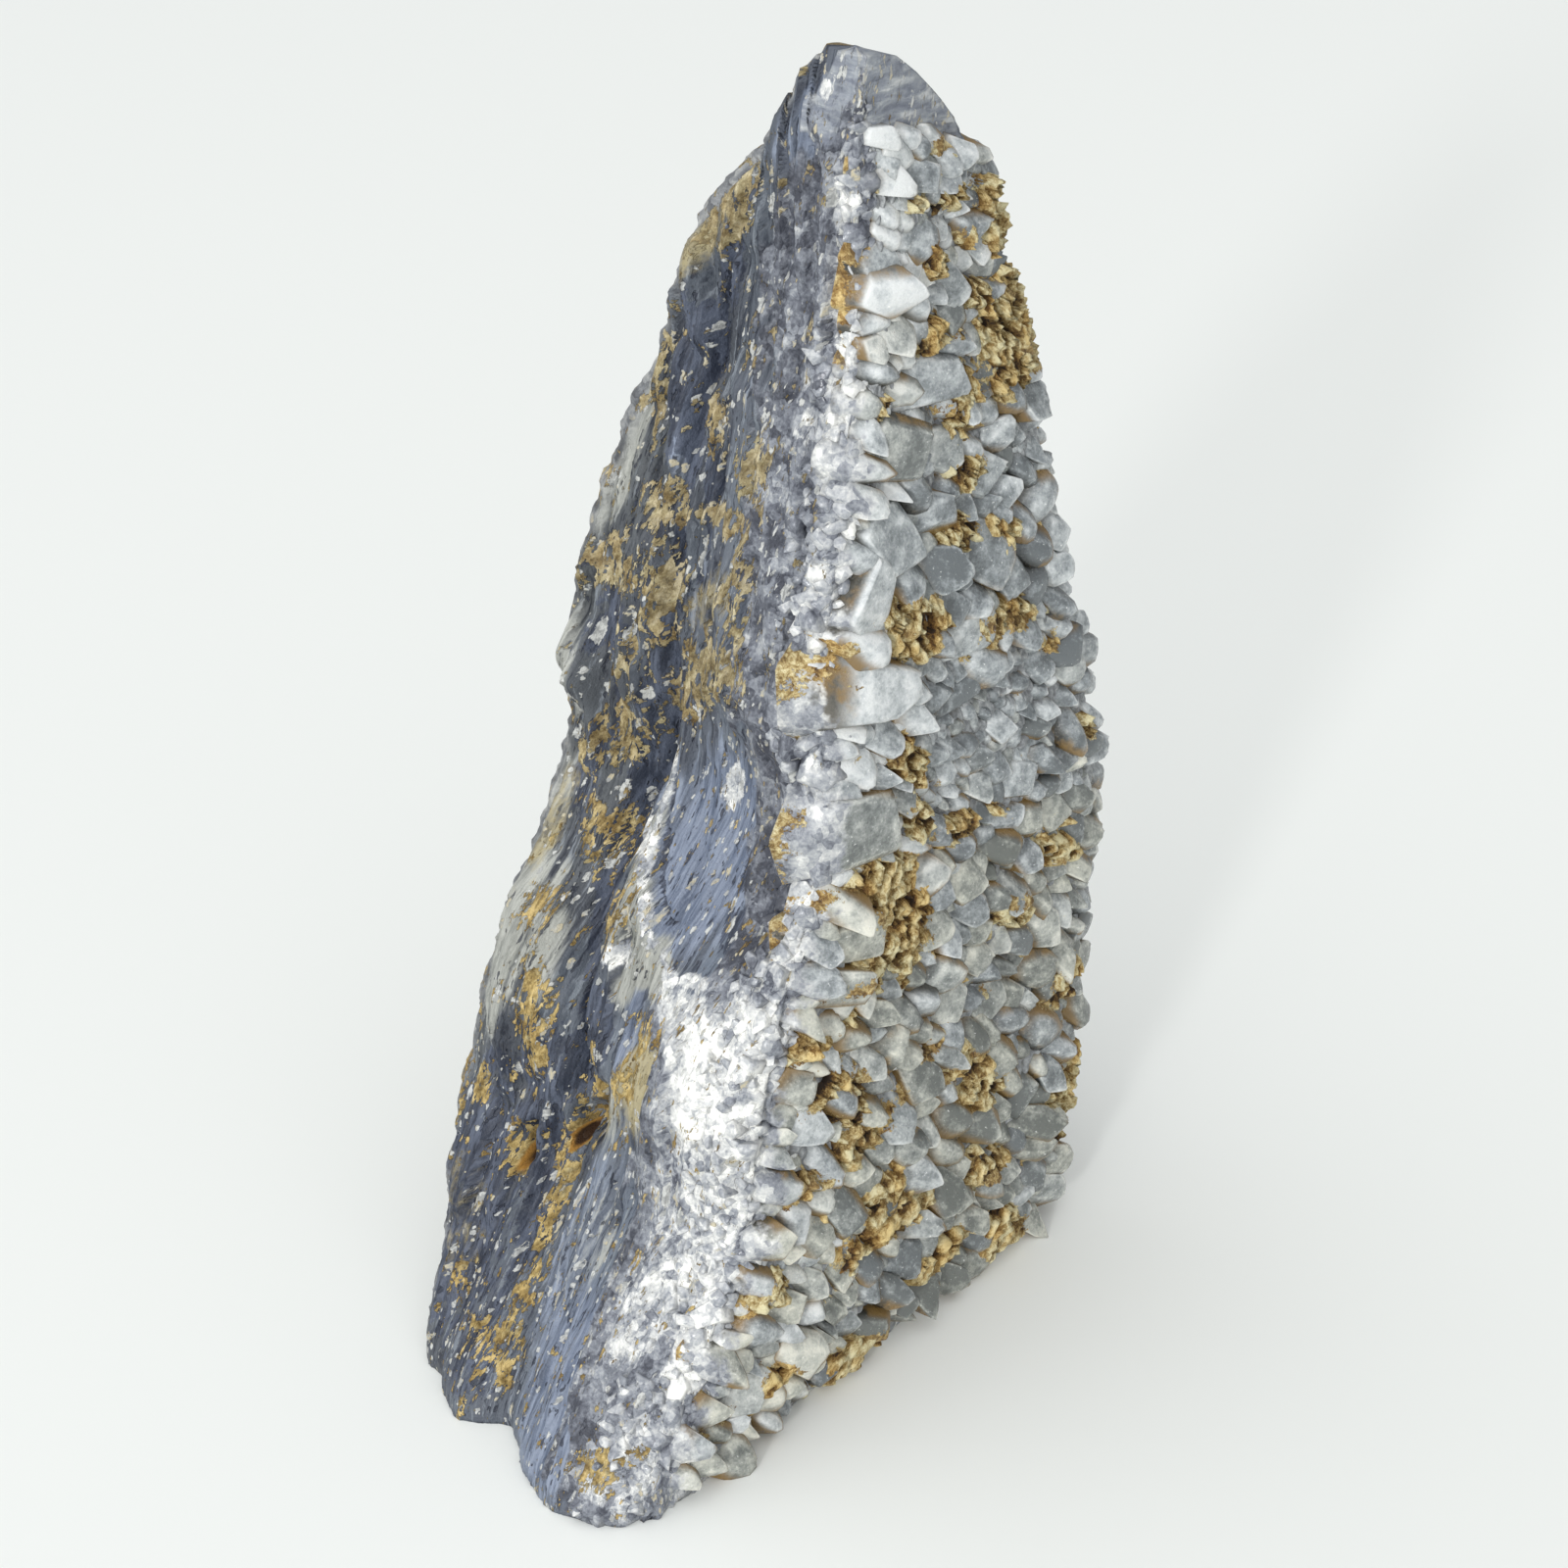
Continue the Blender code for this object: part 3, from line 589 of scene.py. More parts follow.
def ring_faces(rows, columns):
    """Quads between closed rings of points, counted ring by ring."""
    i = np.arange(rows - 1)[:, None] * columns
    j = np.arange(columns)[None, :]
    following = (j + 1) % columns
    quads = np.stack([i + j, i + following, i + columns + following, i + columns + j], axis=-1)
    return quads.reshape(-1, 4)


def rock_mesh():
    """Level rings from the ground to the top, closed by a fan below and by shrinking rings above."""
    around = np.concatenate([
        np.linspace(0, FRONT_STRIP, STRIP_COLUMNS, endpoint=False),
        np.linspace(FRONT_STRIP, 1, FRONT_COLUMNS, endpoint=False),
        np.linspace(1, 2, RIGHT_COLUMNS, endpoint=False),
        np.linspace(2, 4, 2 * BACK_COLUMNS, endpoint=False),
        np.linspace(4, 5, LEFT_COLUMNS, endpoint=False),
    ])
    up = np.linspace(0, 1, ROCK_ROWS)
    fields, bands, height = rock_fields(around[None, :], up[:, None])
    points = surface_point(around[None, :], up[:, None], height)
    points[..., 2] = np.maximum(points[..., 2], 0)
    points[0, :, 2] = 0
    middle = points[-1].mean(axis=0)
    foot = points[0].mean(axis=0)
    tip = middle + np.array([0, 0, TIP_RISE])
    shrink = np.linspace(1, 0, CAP_RINGS + 1)[1:-1]
    cap = middle + (points[-1] - middle) * shrink[:, None, None]
    cap[..., 2] += CAP_RISE * (1 - shrink[:, None])
    rings = np.concatenate([points, cap])
    count = len(around)
    last = (len(rings) - 1) * count
    total = len(rings) * count
    faces = ring_faces(len(rings), count).tolist()
    faces += [(last + j, last + (j + 1) % count, total) for j in range(count)]
    faces += [((j + 1) % count, j, total + 1) for j in range(count)]

    def whole(field):
        """A field carried on over the top's rings, with its means at the tip and at the foot's middle."""
        extra = np.repeat(field[-1:], len(cap), axis=0)
        ends = np.stack([field[-1].mean(axis=0), field[0].mean(axis=0)])
        return np.concatenate([np.concatenate([field, extra]).reshape(-1, *field.shape[2:]), ends])

    values = {key: whole(field) for key, field in fields.items()}
    vectors = {"bands": whole(bands)}
    everything = np.concatenate([rings.reshape(-1, 3), tip[None], foot[None]])
    return mesh_piece("banded_rock", to_world(everything), faces, values, vectors)


def join_inputs(tree, made, inputs):
    """Sets a node's inputs, by name or number: numbers and colours as values, and outputs as links."""
    for key, value in inputs.items():
        if isinstance(value, bpy.types.NodeSocket):
            tree.links.new(value, made.inputs[key])
        else:
            made.inputs[key].default_value = value


def add_node(tree, kind, inputs=None, **settings):
    """Adds a node with its settings and its inputs."""
    made = tree.nodes.new(kind)
    for key, value in settings.items():
        setattr(made, key, value)
    join_inputs(tree, made, inputs or {})
    return made


def calc(tree, operation, a, b, clamp=False):
    """A Math node's result."""
    return add_node(tree, "ShaderNodeMath", {0: a, 1: b}, operation=operation, use_clamp=clamp).outputs[0]


def vector_calc(tree, operation, *values):
    """A Vector Math node's vector."""
    return add_node(tree, "ShaderNodeVectorMath", dict(enumerate(values)), operation=operation).outputs[0]


def add_share(tree, base, share, value, middle=None):
    """The base plus a share of a value, or of how far the value lies from its middle."""
    if middle is not None:
        value = calc(tree, "SUBTRACT", value, middle)
    return calc(tree, "ADD", base, calc(tree, "MULTIPLY", value, share))


def rise(tree, low, high, value):
    """0 below low and 1 above high, with a smooth rise between them."""
    made = add_node(tree, "ShaderNodeMapRange", {"Value": value, "From Min": low, "From Max": high},
                    interpolation_type="SMOOTHSTEP")
    return made.outputs["Result"]


def blend(tree, share, first, second, kind="MIX"):
    """Colour first where share is 0 and second where it is 1."""
    inputs = {0: share, 6: first, 7: second}
    made = add_node(tree, "ShaderNodeMix", inputs, data_type="RGBA", blend_type=kind)
    return made.outputs[2]


def tinted(tree, colour, tint):
    """A colour multiplied by a tint."""
    return blend(tree, 1.0, colour, (*tint, 1), "MULTIPLY")


def three(size):
    """A size as one for each direction."""
    return size if isinstance(size, tuple) else (size,) * 3


def grain(tree, vector, size, detail=2.0, roughness=0.55, distortion=0.0, offset=0.0):
    """Noise from 0 to 1 with grains of a size in the vector's own units, or of three sizes."""
    scaled = vector_calc(tree, "MULTIPLY_ADD", vector, tuple(1 / s for s in three(size)), (offset,) * 3)
    made = add_node(tree, "ShaderNodeTexNoise", {"Vector": scaled, "Scale": 1.0, "Detail": detail,
                                                 "Roughness": roughness, "Distortion": distortion})
    return made.outputs["Fac"]


def pebbles(tree, vector, size):
    """Irregular round cells of a size: distance from each one's middle, and its own random number."""
    scaled = vector_calc(tree, "MULTIPLY", vector, tuple(1 / s for s in three(size)))
    made = add_node(tree, "ShaderNodeTexVoronoi", {"Vector": scaled, "Scale": 1.0})
    number = add_node(tree, "ShaderNodeSeparateXYZ", {0: made.outputs["Color"]}).outputs["X"]
    return made.outputs["Distance"], number


def millimetres(tree):
    """The piece's own coordinates, in millimetres."""
    own = add_node(tree, "ShaderNodeTexCoord").outputs["Object"]
    return vector_calc(tree, "MULTIPLY", own, (1 / MM,) * 3)


def field(tree, name, kind="Fac"):
    """A point attribute of the piece."""
    return add_node(tree, "ShaderNodeAttribute", attribute_name=name).outputs[kind]


def colour_ramp(tree, value, stops):
    """Colours between given stops."""
    made = add_node(tree, "ShaderNodeValToRGB", {"Fac": value})
    elements = made.color_ramp.elements
    while len(elements) > 1:
        elements.remove(elements[-1])
    elements[0].position, elements[0].color = stops[0][0], (*stops[0][1], 1)
    for position, colour in stops[1:]:
        elements.new(position).color = (*colour, 1)
    return made.outputs["Color"]


def new_group(name, inputs, outputs):
    """An empty shader node group with named sockets."""
    tree = bpy.data.node_groups.new(name, "ShaderNodeTree")
    for key, kind in inputs.items():
        tree.interface.new_socket(key, in_out="INPUT", socket_type=kind)
    for key, kind in outputs.items():
        tree.interface.new_socket(key, in_out="OUTPUT", socket_type=kind)
    return tree, tree.nodes.new("NodeGroupInput").outputs, tree.nodes.new("NodeGroupOutput").inputs


QUARTZ_INDEX = 1.54


def new_material(name):
    """A material with its node tree and its shader, set to the index of quartz."""
    material = bpy.data.materials.new(name)
    material.use_nodes = True
    shader = material.node_tree.nodes["Principled BSDF"]
    shader.inputs["IOR"].default_value = QUARTZ_INDEX
    return material, material.node_tree, shader


def add_bump(tree, shader, height, strength, depth):
    """Puts a height on the shader as fine relief. The depth is in metres."""
    made = add_node(tree, "ShaderNodeBump", {"Height": height, "Strength": strength, "Distance": depth})
    tree.links.new(made.outputs["Normal"], shader.inputs["Normal"])


def group_node(tree, group, inputs):
    """Places a node group."""
    made = tree.nodes.new("ShaderNodeGroup")
    made.node_tree = group
    join_inputs(tree, made, inputs)
    return made.outputs


# Colours of the clay and of the sugary quartz, from the lowest shade to the highest
CLAY_COLOURS = (
    (0.34, (0.02, 0.01, 0.003)), (0.43, (0.11, 0.058, 0.013)), (0.51, (0.21, 0.132, 0.038)),
    (0.58, (0.36, 0.258, 0.1)), (0.66, (0.54, 0.44, 0.225)), (0.76, (0.76, 0.69, 0.43)),
)
RUST_TINT = (0.95, 0.72, 0.36)
SUGAR_COLOURS = (
    (0.27, (0.05, 0.054, 0.07)), (0.36, (0.12, 0.129, 0.155)), (0.45, (0.235, 0.25, 0.28)),
    (0.53, (0.38, 0.393, 0.41)), (0.61, (0.57, 0.575, 0.565)), (0.71, (0.88, 0.875, 0.83)),
)


def clay_group():
    """Dry clay: pale crumbs over tan, dark brown where deep, torn at its edge. Vector in millimetres."""
    tree, given, result = new_group(
        "dry clay",
        {"Vector": "NodeSocketVector", "Amount": "NodeSocketFloat", "Depth": "NodeSocketFloat"},
        {"Color": "NodeSocketColor", "Mask": "NodeSocketFloat", "Height": "NodeSocketFloat"})
    vector = given["Vector"]
    crumbs = grain(tree, vector, 0.75, 4.0, 0.78, 1.1)
    lumps = grain(tree, vector, 2.2, 2.0, 0.5, offset=7.3)
    stain = grain(tree, vector, 5.0, 1.0, 0.5, offset=3.1)
    number = pebbles(tree, vector, (0.9, 1.3, 0.7))[1]
    shade = add_share(tree, calc(tree, "MULTIPLY", crumbs, 0.8), 0.5, lumps)
    shade = calc(tree, "SUBTRACT", shade, 0.04)
    shade = add_share(tree, shade, 0.12, number, 0.5)
    shade = calc(tree, "SUBTRACT", shade, calc(tree, "MULTIPLY", given["Depth"], 0.3))
    colour = colour_ramp(tree, shade, CLAY_COLOURS)
    rust = calc(tree, "MULTIPLY", rise(tree, 0.46, 0.66, stain), 0.6)
    colour = blend(tree, rust, colour, tinted(tree, colour, RUST_TINT))
    tree.links.new(colour, result["Color"])
    tree.links.new(rise(tree, 0.44, 0.54, given["Amount"]), result["Mask"])
    tree.links.new(shade, result["Height"])
    return tree


def sugar_group():
    """Sugary quartz: white and grey grains over a slate ground. Whiteness moves it to white."""
    tree, given, result = new_group(
        "sugary quartz",
        {"Vector": "NodeSocketVector", "Whiteness": "NodeSocketFloat"},
        {"Color": "NodeSocketColor", "Height": "NodeSocketFloat"})
    vector = given["Vector"]
    clumps = grain(tree, vector, 4.0, 4.0, 0.62, 0.3)
    specks = grain(tree, vector, 0.5, 2.0, 0.6, offset=5.7)
    shake = add_node(tree, "ShaderNodeTexNoise", {"Vector": vector, "Scale": 0.8, "Detail": 1.0})
    gap, number = pebbles(tree, vector_calc(tree, "ADD", vector, shake.outputs["Color"]), 1.3)
    shade = add_share(tree, calc(tree, "MULTIPLY", clumps, 0.62), 0.24, specks)
    shade = add_share(tree, shade, 0.15, number, 0.5)
    shade = add_share(tree, shade, 0.25, given["Whiteness"], 0.25)
    tree.links.new(colour_ramp(tree, shade, SUGAR_COLOURS), result["Color"])
    facets = calc(tree, "SUBTRACT", calc(tree, "MULTIPLY", number, 0.5), calc(tree, "MULTIPLY", gap, 0.7))
    tree.links.new(add_share(tree, facets, 0.5, specks), result["Height"])
    return tree


clay_nodes = clay_group()
sugar_nodes = sugar_group()

# Colours of the banded rock: slate, navy and periwinkle bands, the vein wall, the broken top and dusty clay
BAND_COLOURS = (
    (0.1, (0.145, 0.162, 0.192)), (0.22, (0.105, 0.119, 0.146)), (0.3, (0.15, 0.176, 0.218)),
    (0.36, (0.085, 0.097, 0.121)), (0.43, (0.132, 0.151, 0.18)), (0.5, (0.075, 0.084, 0.105)),
    (0.56, (0.09, 0.104, 0.126)), (0.63, (0.05, 0.056, 0.07)), (0.72, (0.082, 0.09, 0.1)),
    (0.82, (0.062, 0.067, 0.07)), (0.92, (0.1, 0.104, 0.1)),
)
BAND_REACH = 75.0
BAND_SHAKES = ((2.6, 0.4), (0.6, 0.22))
DARK_HAIR_TINT = (0.4, 0.42, 0.48)
PALE_HAIR = (0.27, 0.3, 0.335, 1)
BLUE_PAIR = ((0.085, 0.108, 0.16, 1), (0.235, 0.27, 0.345, 1))
PALE_PAIR = ((0.19, 0.196, 0.18, 1), (0.41, 0.415, 0.38, 1))
NAVY_PAIR = ((0.026, 0.032, 0.05, 1), (0.085, 0.1, 0.14, 1))
TINT_PAIR = ((0.3, 0.25, 0.13, 1), (0.5, 0.42, 0.22, 1))
PIT_PAIR = ((0.33, 0.17, 0.035, 1), (0.035, 0.016, 0.006, 1))
SLIT_COLOUR = (0.026, 0.03, 0.045, 1)
WHITE_FLECK = (0.56, 0.565, 0.54, 1)
TAN_FLECK = (0.5, 0.445, 0.31, 1)
DULL_FLECK = (0.33, 0.335, 0.325, 1)
WALL_COLOURS = (
    (0.28, (0.07, 0.073, 0.08)), (0.38, (0.17, 0.178, 0.19)), (0.48, (0.31, 0.315, 0.315)),
    (0.6, (0.52, 0.515, 0.48)),
)
CAP_COLOURS = (
    (0.34, (0.15, 0.163, 0.2)), (0.46, (0.23, 0.248, 0.285)), (0.56, (0.32, 0.34, 0.365)),
    (0.68, (0.55, 0.56, 0.56)),
)
DUST_COLOURS = (
    (0.36, (0.06, 0.048, 0.025)), (0.45, (0.17, 0.142, 0.08)), (0.54, (0.34, 0.295, 0.18)),
    (0.65, (0.6, 0.54, 0.38)),
)
GOLDEN_TINT = (1.25, 1.06, 0.66)
FILM_SHADOW_TINT = (0.3, 0.27, 0.24)
ROCK_SPECULAR = 0.28


def torn_mask(tree, name, tear, amount, low=0.4, high=0.6):
    """A point attribute as a mask, with its edge torn by an amount of noise."""
    return rise(tree, low, high, add_share(tree, field(tree, name), amount, tear, 0.5))


def shaken_bands(tree, place):
    """The bands' own millimetres, shaken by noise of two sizes so that no band runs quite straight."""
    bands = field(tree, "bands", "Vector")
    for size, reach in BAND_SHAKES:
        shaken = add_node(tree, "ShaderNodeTexNoise", {"Vector": place, "Scale": 1 / size, "Detail": 1.0})
        shaken = vector_calc(tree, "SUBTRACT", shaken.outputs["Color"], (0.5,) * 3)
        bands = vector_calc(tree, "MULTIPLY_ADD", shaken, (reach, 2 * reach, reach), bands)
    return bands


def band_colour(tree, bands, streaks, tear):
    """Broad bands with dark and pale hairlines, and patches of blue, pale and navy bands over them."""
    across = add_node(tree, "ShaderNodeSeparateXYZ", {0: field(tree, "bands", "Vector")}).outputs["X"]
    broad = grain(tree, bands, (4.2, 55.0, 30.0), 2.0)
    fine = grain(tree, bands, (0.9, 14.0, 6.0), 3.0, 0.6, offset=9.0)
    share = add_share(tree, calc(tree, "DIVIDE", across, BAND_REACH), 0.4, broad, 0.5)
    colour = colour_ramp(tree, share, BAND_COLOURS)
    colour = blend(tree, rise(tree, 0.47, 0.38, streaks), colour, tinted(tree, colour, DARK_HAIR_TINT))
    pale_hairs = calc(tree, "MULTIPLY", rise(tree, 0.53, 0.62, streaks), 0.55)
    colour = blend(tree, pale_hairs, colour, PALE_HAIR)
    blue = blend(tree, rise(tree, 0.36, 0.64, streaks), *BLUE_PAIR)
    colour = blend(tree, torn_mask(tree, "blue", fine, 1.3, 0.3, 0.8), colour, blue)
    pale = blend(tree, rise(tree, 0.35, 0.65, streaks), *PALE_PAIR)
    colour = blend(tree, torn_mask(tree, "pale", fine, 1.3, 0.35, 0.75), colour, pale)
    navy = blend(tree, rise(tree, 0.42, 0.6, streaks), *NAVY_PAIR)
    navy_mask = calc(tree, "MULTIPLY", torn_mask(tree, "dark", tear, 2.2, 0.4, 0.53), 0.95)
    return blend(tree, navy_mask, colour, navy)


def chips(tree, bands, ragged, crowd, sizes, rarest):
    """Mask of torn chips that lie along the bands: each cell's own number gives its chip's size, if any."""
    gap, number = pebbles(tree, bands, sizes)
    reach = calc(tree, "ADD", calc(tree, "MULTIPLY", calc(tree, "SUBTRACT", number, rarest), 0.75), crowd)
    return rise(tree, -0.02, 0.04, calc(tree, "SUBTRACT", add_share(tree, reach, 0.7, ragged, 0.5), gap))


def clay_film(tree, bands, tear, slit_mask):
    """How much clay lies on the bands: patches torn by noise along them, worn through, and not in slits."""
    film = add_share(tree, field(tree, "clay"), 3.6, tear, 0.5)
    slivers = grain(tree, bands, (0.5, 2.2, 1.2), 3.0, 0.65, offset=52.0)
    film = add_share(tree, film, 2.4, slivers, 0.52)
    film = calc(tree, "SUBTRACT", film, calc(tree, "MULTIPLY", slit_mask, 0.9))
    wear_and_edge_highlight = grain(tree, bands, (1.0, 2.6, 1.4), 3.0, 0.65, offset=41.0)
    return calc(tree, "SUBTRACT", film, calc(tree, "MULTIPLY", rise(tree, 0.53, 0.6, wear_and_edge_highlight), 0.75))


def rock_material():
    """Thin bands of slate, navy and periwinkle with pale flecks, sugary quartz and films of clay."""
    material, tree, shader = new_material("banded_chalcedony")
    place = millimetres(tree)
    bands = shaken_bands(tree, place)
    on_wall = field(tree, "wall")
    off_wall = calc(tree, "SUBTRACT", 1.0, on_wall, clamp=True)
    fine = grain(tree, bands, (0.9, 14.0, 6.0), 3.0, 0.6, offset=9.0)
    hair = grain(tree, bands, (0.24, 3.6, 3.0), 2.0, 0.6, offset=2.0)
    tear = grain(tree, bands, (1.25, 4.2, 2.2), 5.0, 0.66, 0.2, offset=12.0)
    streaks = add_share(tree, calc(tree, "MULTIPLY", fine, 0.6), 0.4, hair)

    # Bands, dark slits and stains
    colour = band_colour(tree, bands, streaks, tear)
    slits = grain(tree, bands, (0.5, 3.6, 1.6), 2.0, 0.6, offset=15.0)
    slit_mask = calc(tree, "MULTIPLY", rise(tree, 0.38, 0.33, slits), off_wall)
    colour = blend(tree, calc(tree, "MULTIPLY", slit_mask, 0.85), colour, SLIT_COLOUR)
    stain = calc(tree, "MULTIPLY", torn_mask(tree, "tint", tear, 1.4, 0.3, 0.8), 0.75)
    colour = blend(tree, stain, colour, blend(tree, tear, *TINT_PAIR))

    # The vein wall at the back, and the broken top
    wall_gap, wall_number = pebbles(tree, bands, (1.5, 2.1, 1.8))
    wall_lumps = calc(tree, "MULTIPLY", grain(tree, bands, 3.4, 5.0, 0.7, 0.3, offset=1.0), 0.85)
    wall_shade = add_share(tree, wall_lumps, 0.16, wall_number, wall_gap)
    colour = blend(tree, on_wall, colour, colour_ramp(tree, wall_shade, WALL_COLOURS))
    layers = grain(tree, place, (4.5, 4.5, 1.1), 4.0, 0.6, 0.3, offset=19.0)
    cap_mask = torn_mask(tree, "cap", tear, 1.0)
    cap_colour = colour_ramp(tree, layers, CAP_COLOURS)
    colour = blend(tree, calc(tree, "MULTIPLY", cap_mask, 0.85), colour, cap_colour)

    # Sugary quartz beside the ridge, whitest where the patches are white and not dark
    white_mask = torn_mask(tree, "white", tear, 2.0, 0.42, 0.6)
    darkness = calc(tree, "MULTIPLY", field(tree, "dark"), 0.7)
    whiteness = calc(tree, "SUBTRACT", field(tree, "white"), darkness)
    whiteness = add_share(tree, calc(tree, "MULTIPLY", whiteness, 0.55), 0.5, white_mask)
    sugar = group_node(tree, sugar_nodes, {"Vector": place, "Whiteness": whiteness})
    sugar_mask = calc(tree, "MAXIMUM", torn_mask(tree, "sugar", tear, 1.2, 0.35, 0.65), white_mask)
    colour = blend(tree, sugar_mask, colour, sugar["Color"])

    # Chips of two sizes, some white, some tan, dull at their edges
    thicket = grain(tree, bands, (8.0, 20.0, 9.0), 1.0, offset=6.0)
    crowd = calc(tree, "MULTIPLY", calc(tree, "SUBTRACT", thicket, 0.5), 0.22)
    flecks = grain(tree, bands, (0.5, 1.0, 0.7), 2.5, 0.65, offset=4.0)
    fleck_mask = calc(tree, "MAXIMUM", chips(tree, bands, flecks, crowd, (1.5, 4.2, 2.4), 0.5),
                      chips(tree, bands, flecks, crowd, (0.75, 1.9, 1.1), 0.44))
    fleck_mask = calc(tree, "MULTIPLY", fleck_mask, off_wall)
    kind = grain(tree, bands, (2.5, 7.0, 4.0), 1.0, offset=31.0)
    fleck_colour = blend(tree, rise(tree, 0.5, 0.56, kind), WHITE_FLECK, TAN_FLECK)
    fleck_colour = blend(tree, rise(tree, 0.6, 0.45, flecks), fleck_colour, DULL_FLECK)
    colour = blend(tree, calc(tree, "MULTIPLY", fleck_mask, 0.9), colour, fleck_colour)

    # Films of dusty clay, more golden low down, with a thin shadow at their edge
    film = clay_film(tree, bands, tear, slit_mask)
    clay = group_node(tree, clay_nodes, {"Vector": place, "Amount": film, "Depth": 0.12})
    dusty = colour_ramp(tree, grain(tree, bands, (1.0, 3.0, 1.6), 4.0, 0.7, offset=17.0), DUST_COLOURS)
    low_down = rise(tree, 100.0, 55.0, add_node(tree, "ShaderNodeSeparateXYZ", {0: place}).outputs["Z"])
    dusty = blend(tree, low_down, dusty, tinted(tree, dusty, GOLDEN_TINT))
    film_shadow = calc(tree, "MULTIPLY", rise(tree, 0.28, 0.46, film), 0.6)
    colour = blend(tree, film_shadow, colour, tinted(tree, colour, FILM_SHADOW_TINT))
    colour = blend(tree, calc(tree, "MULTIPLY", clay["Mask"], 0.95), colour,
                   blend(tree, 0.7, clay["Color"], dusty))

    # The two pits, rust-brown at the rim and nearly black inside
    pit = field(tree, "pit")
    pit_colour = blend(tree, rise(tree, 0.55, 0.95, pit), *PIT_PAIR)
    colour = blend(tree, rise(tree, 0.3, 0.55, pit), colour, pit_colour)
    tree.links.new(colour, shader.inputs["Base Color"])

    # Gloss and fine relief
    rough = calc(tree, "ADD", 0.34, calc(tree, "MULTIPLY", streaks, 0.3))
    rough = calc(tree, "ADD", rough, calc(tree, "MULTIPLY", clay["Mask"], 0.4), clamp=True)
    tree.links.new(rough, shader.inputs["Roughness"])
    smooth = calc(tree, "MULTIPLY", calc(tree, "MAXIMUM", cap_mask, sugar_mask), 0.85)
    height = calc(tree, "MULTIPLY", streaks, 0.42)
    height = calc(tree, "MULTIPLY", height, calc(tree, "SUBTRACT", 1.0, smooth))
    height = add_share(tree, height, 0.2, fleck_mask)
    height = add_share(tree, height, 0.8, calc(tree, "MULTIPLY", layers, cap_mask))
    height = calc(tree, "SUBTRACT", height, calc(tree, "MULTIPLY", slit_mask, 0.5))
    height = add_share(tree, height, 0.6, calc(tree, "MULTIPLY", sugar["Height"], sugar_mask))
    crumbs = calc(tree, "ADD", calc(tree, "MULTIPLY", clay["Height"], 0.45), 0.3)
    height = add_share(tree, height, clay["Mask"], crumbs)
    height = add_share(tree, height, 0.35, grain(tree, place, 0.5, 2.0, 0.6))
    height = add_share(tree, height, calc(tree, "MULTIPLY", on_wall, 1.2), wall_shade)
    add_bump(tree, shader, height, 0.75, 0.0006)
    shader.inputs["Specular IOR Level"].default_value = ROCK_SPECULAR
    return material


rock = rock_mesh()
rock.data.materials.append(rock_material())
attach(rock, "root")
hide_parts("chalcedony_stone")

# The crevice floor: what shows between the crystals. A skin of tiny quartz crystals on the rock, with dry
# tan clay washed into its hollows, crumbly on top and orange-brown where it is deep.

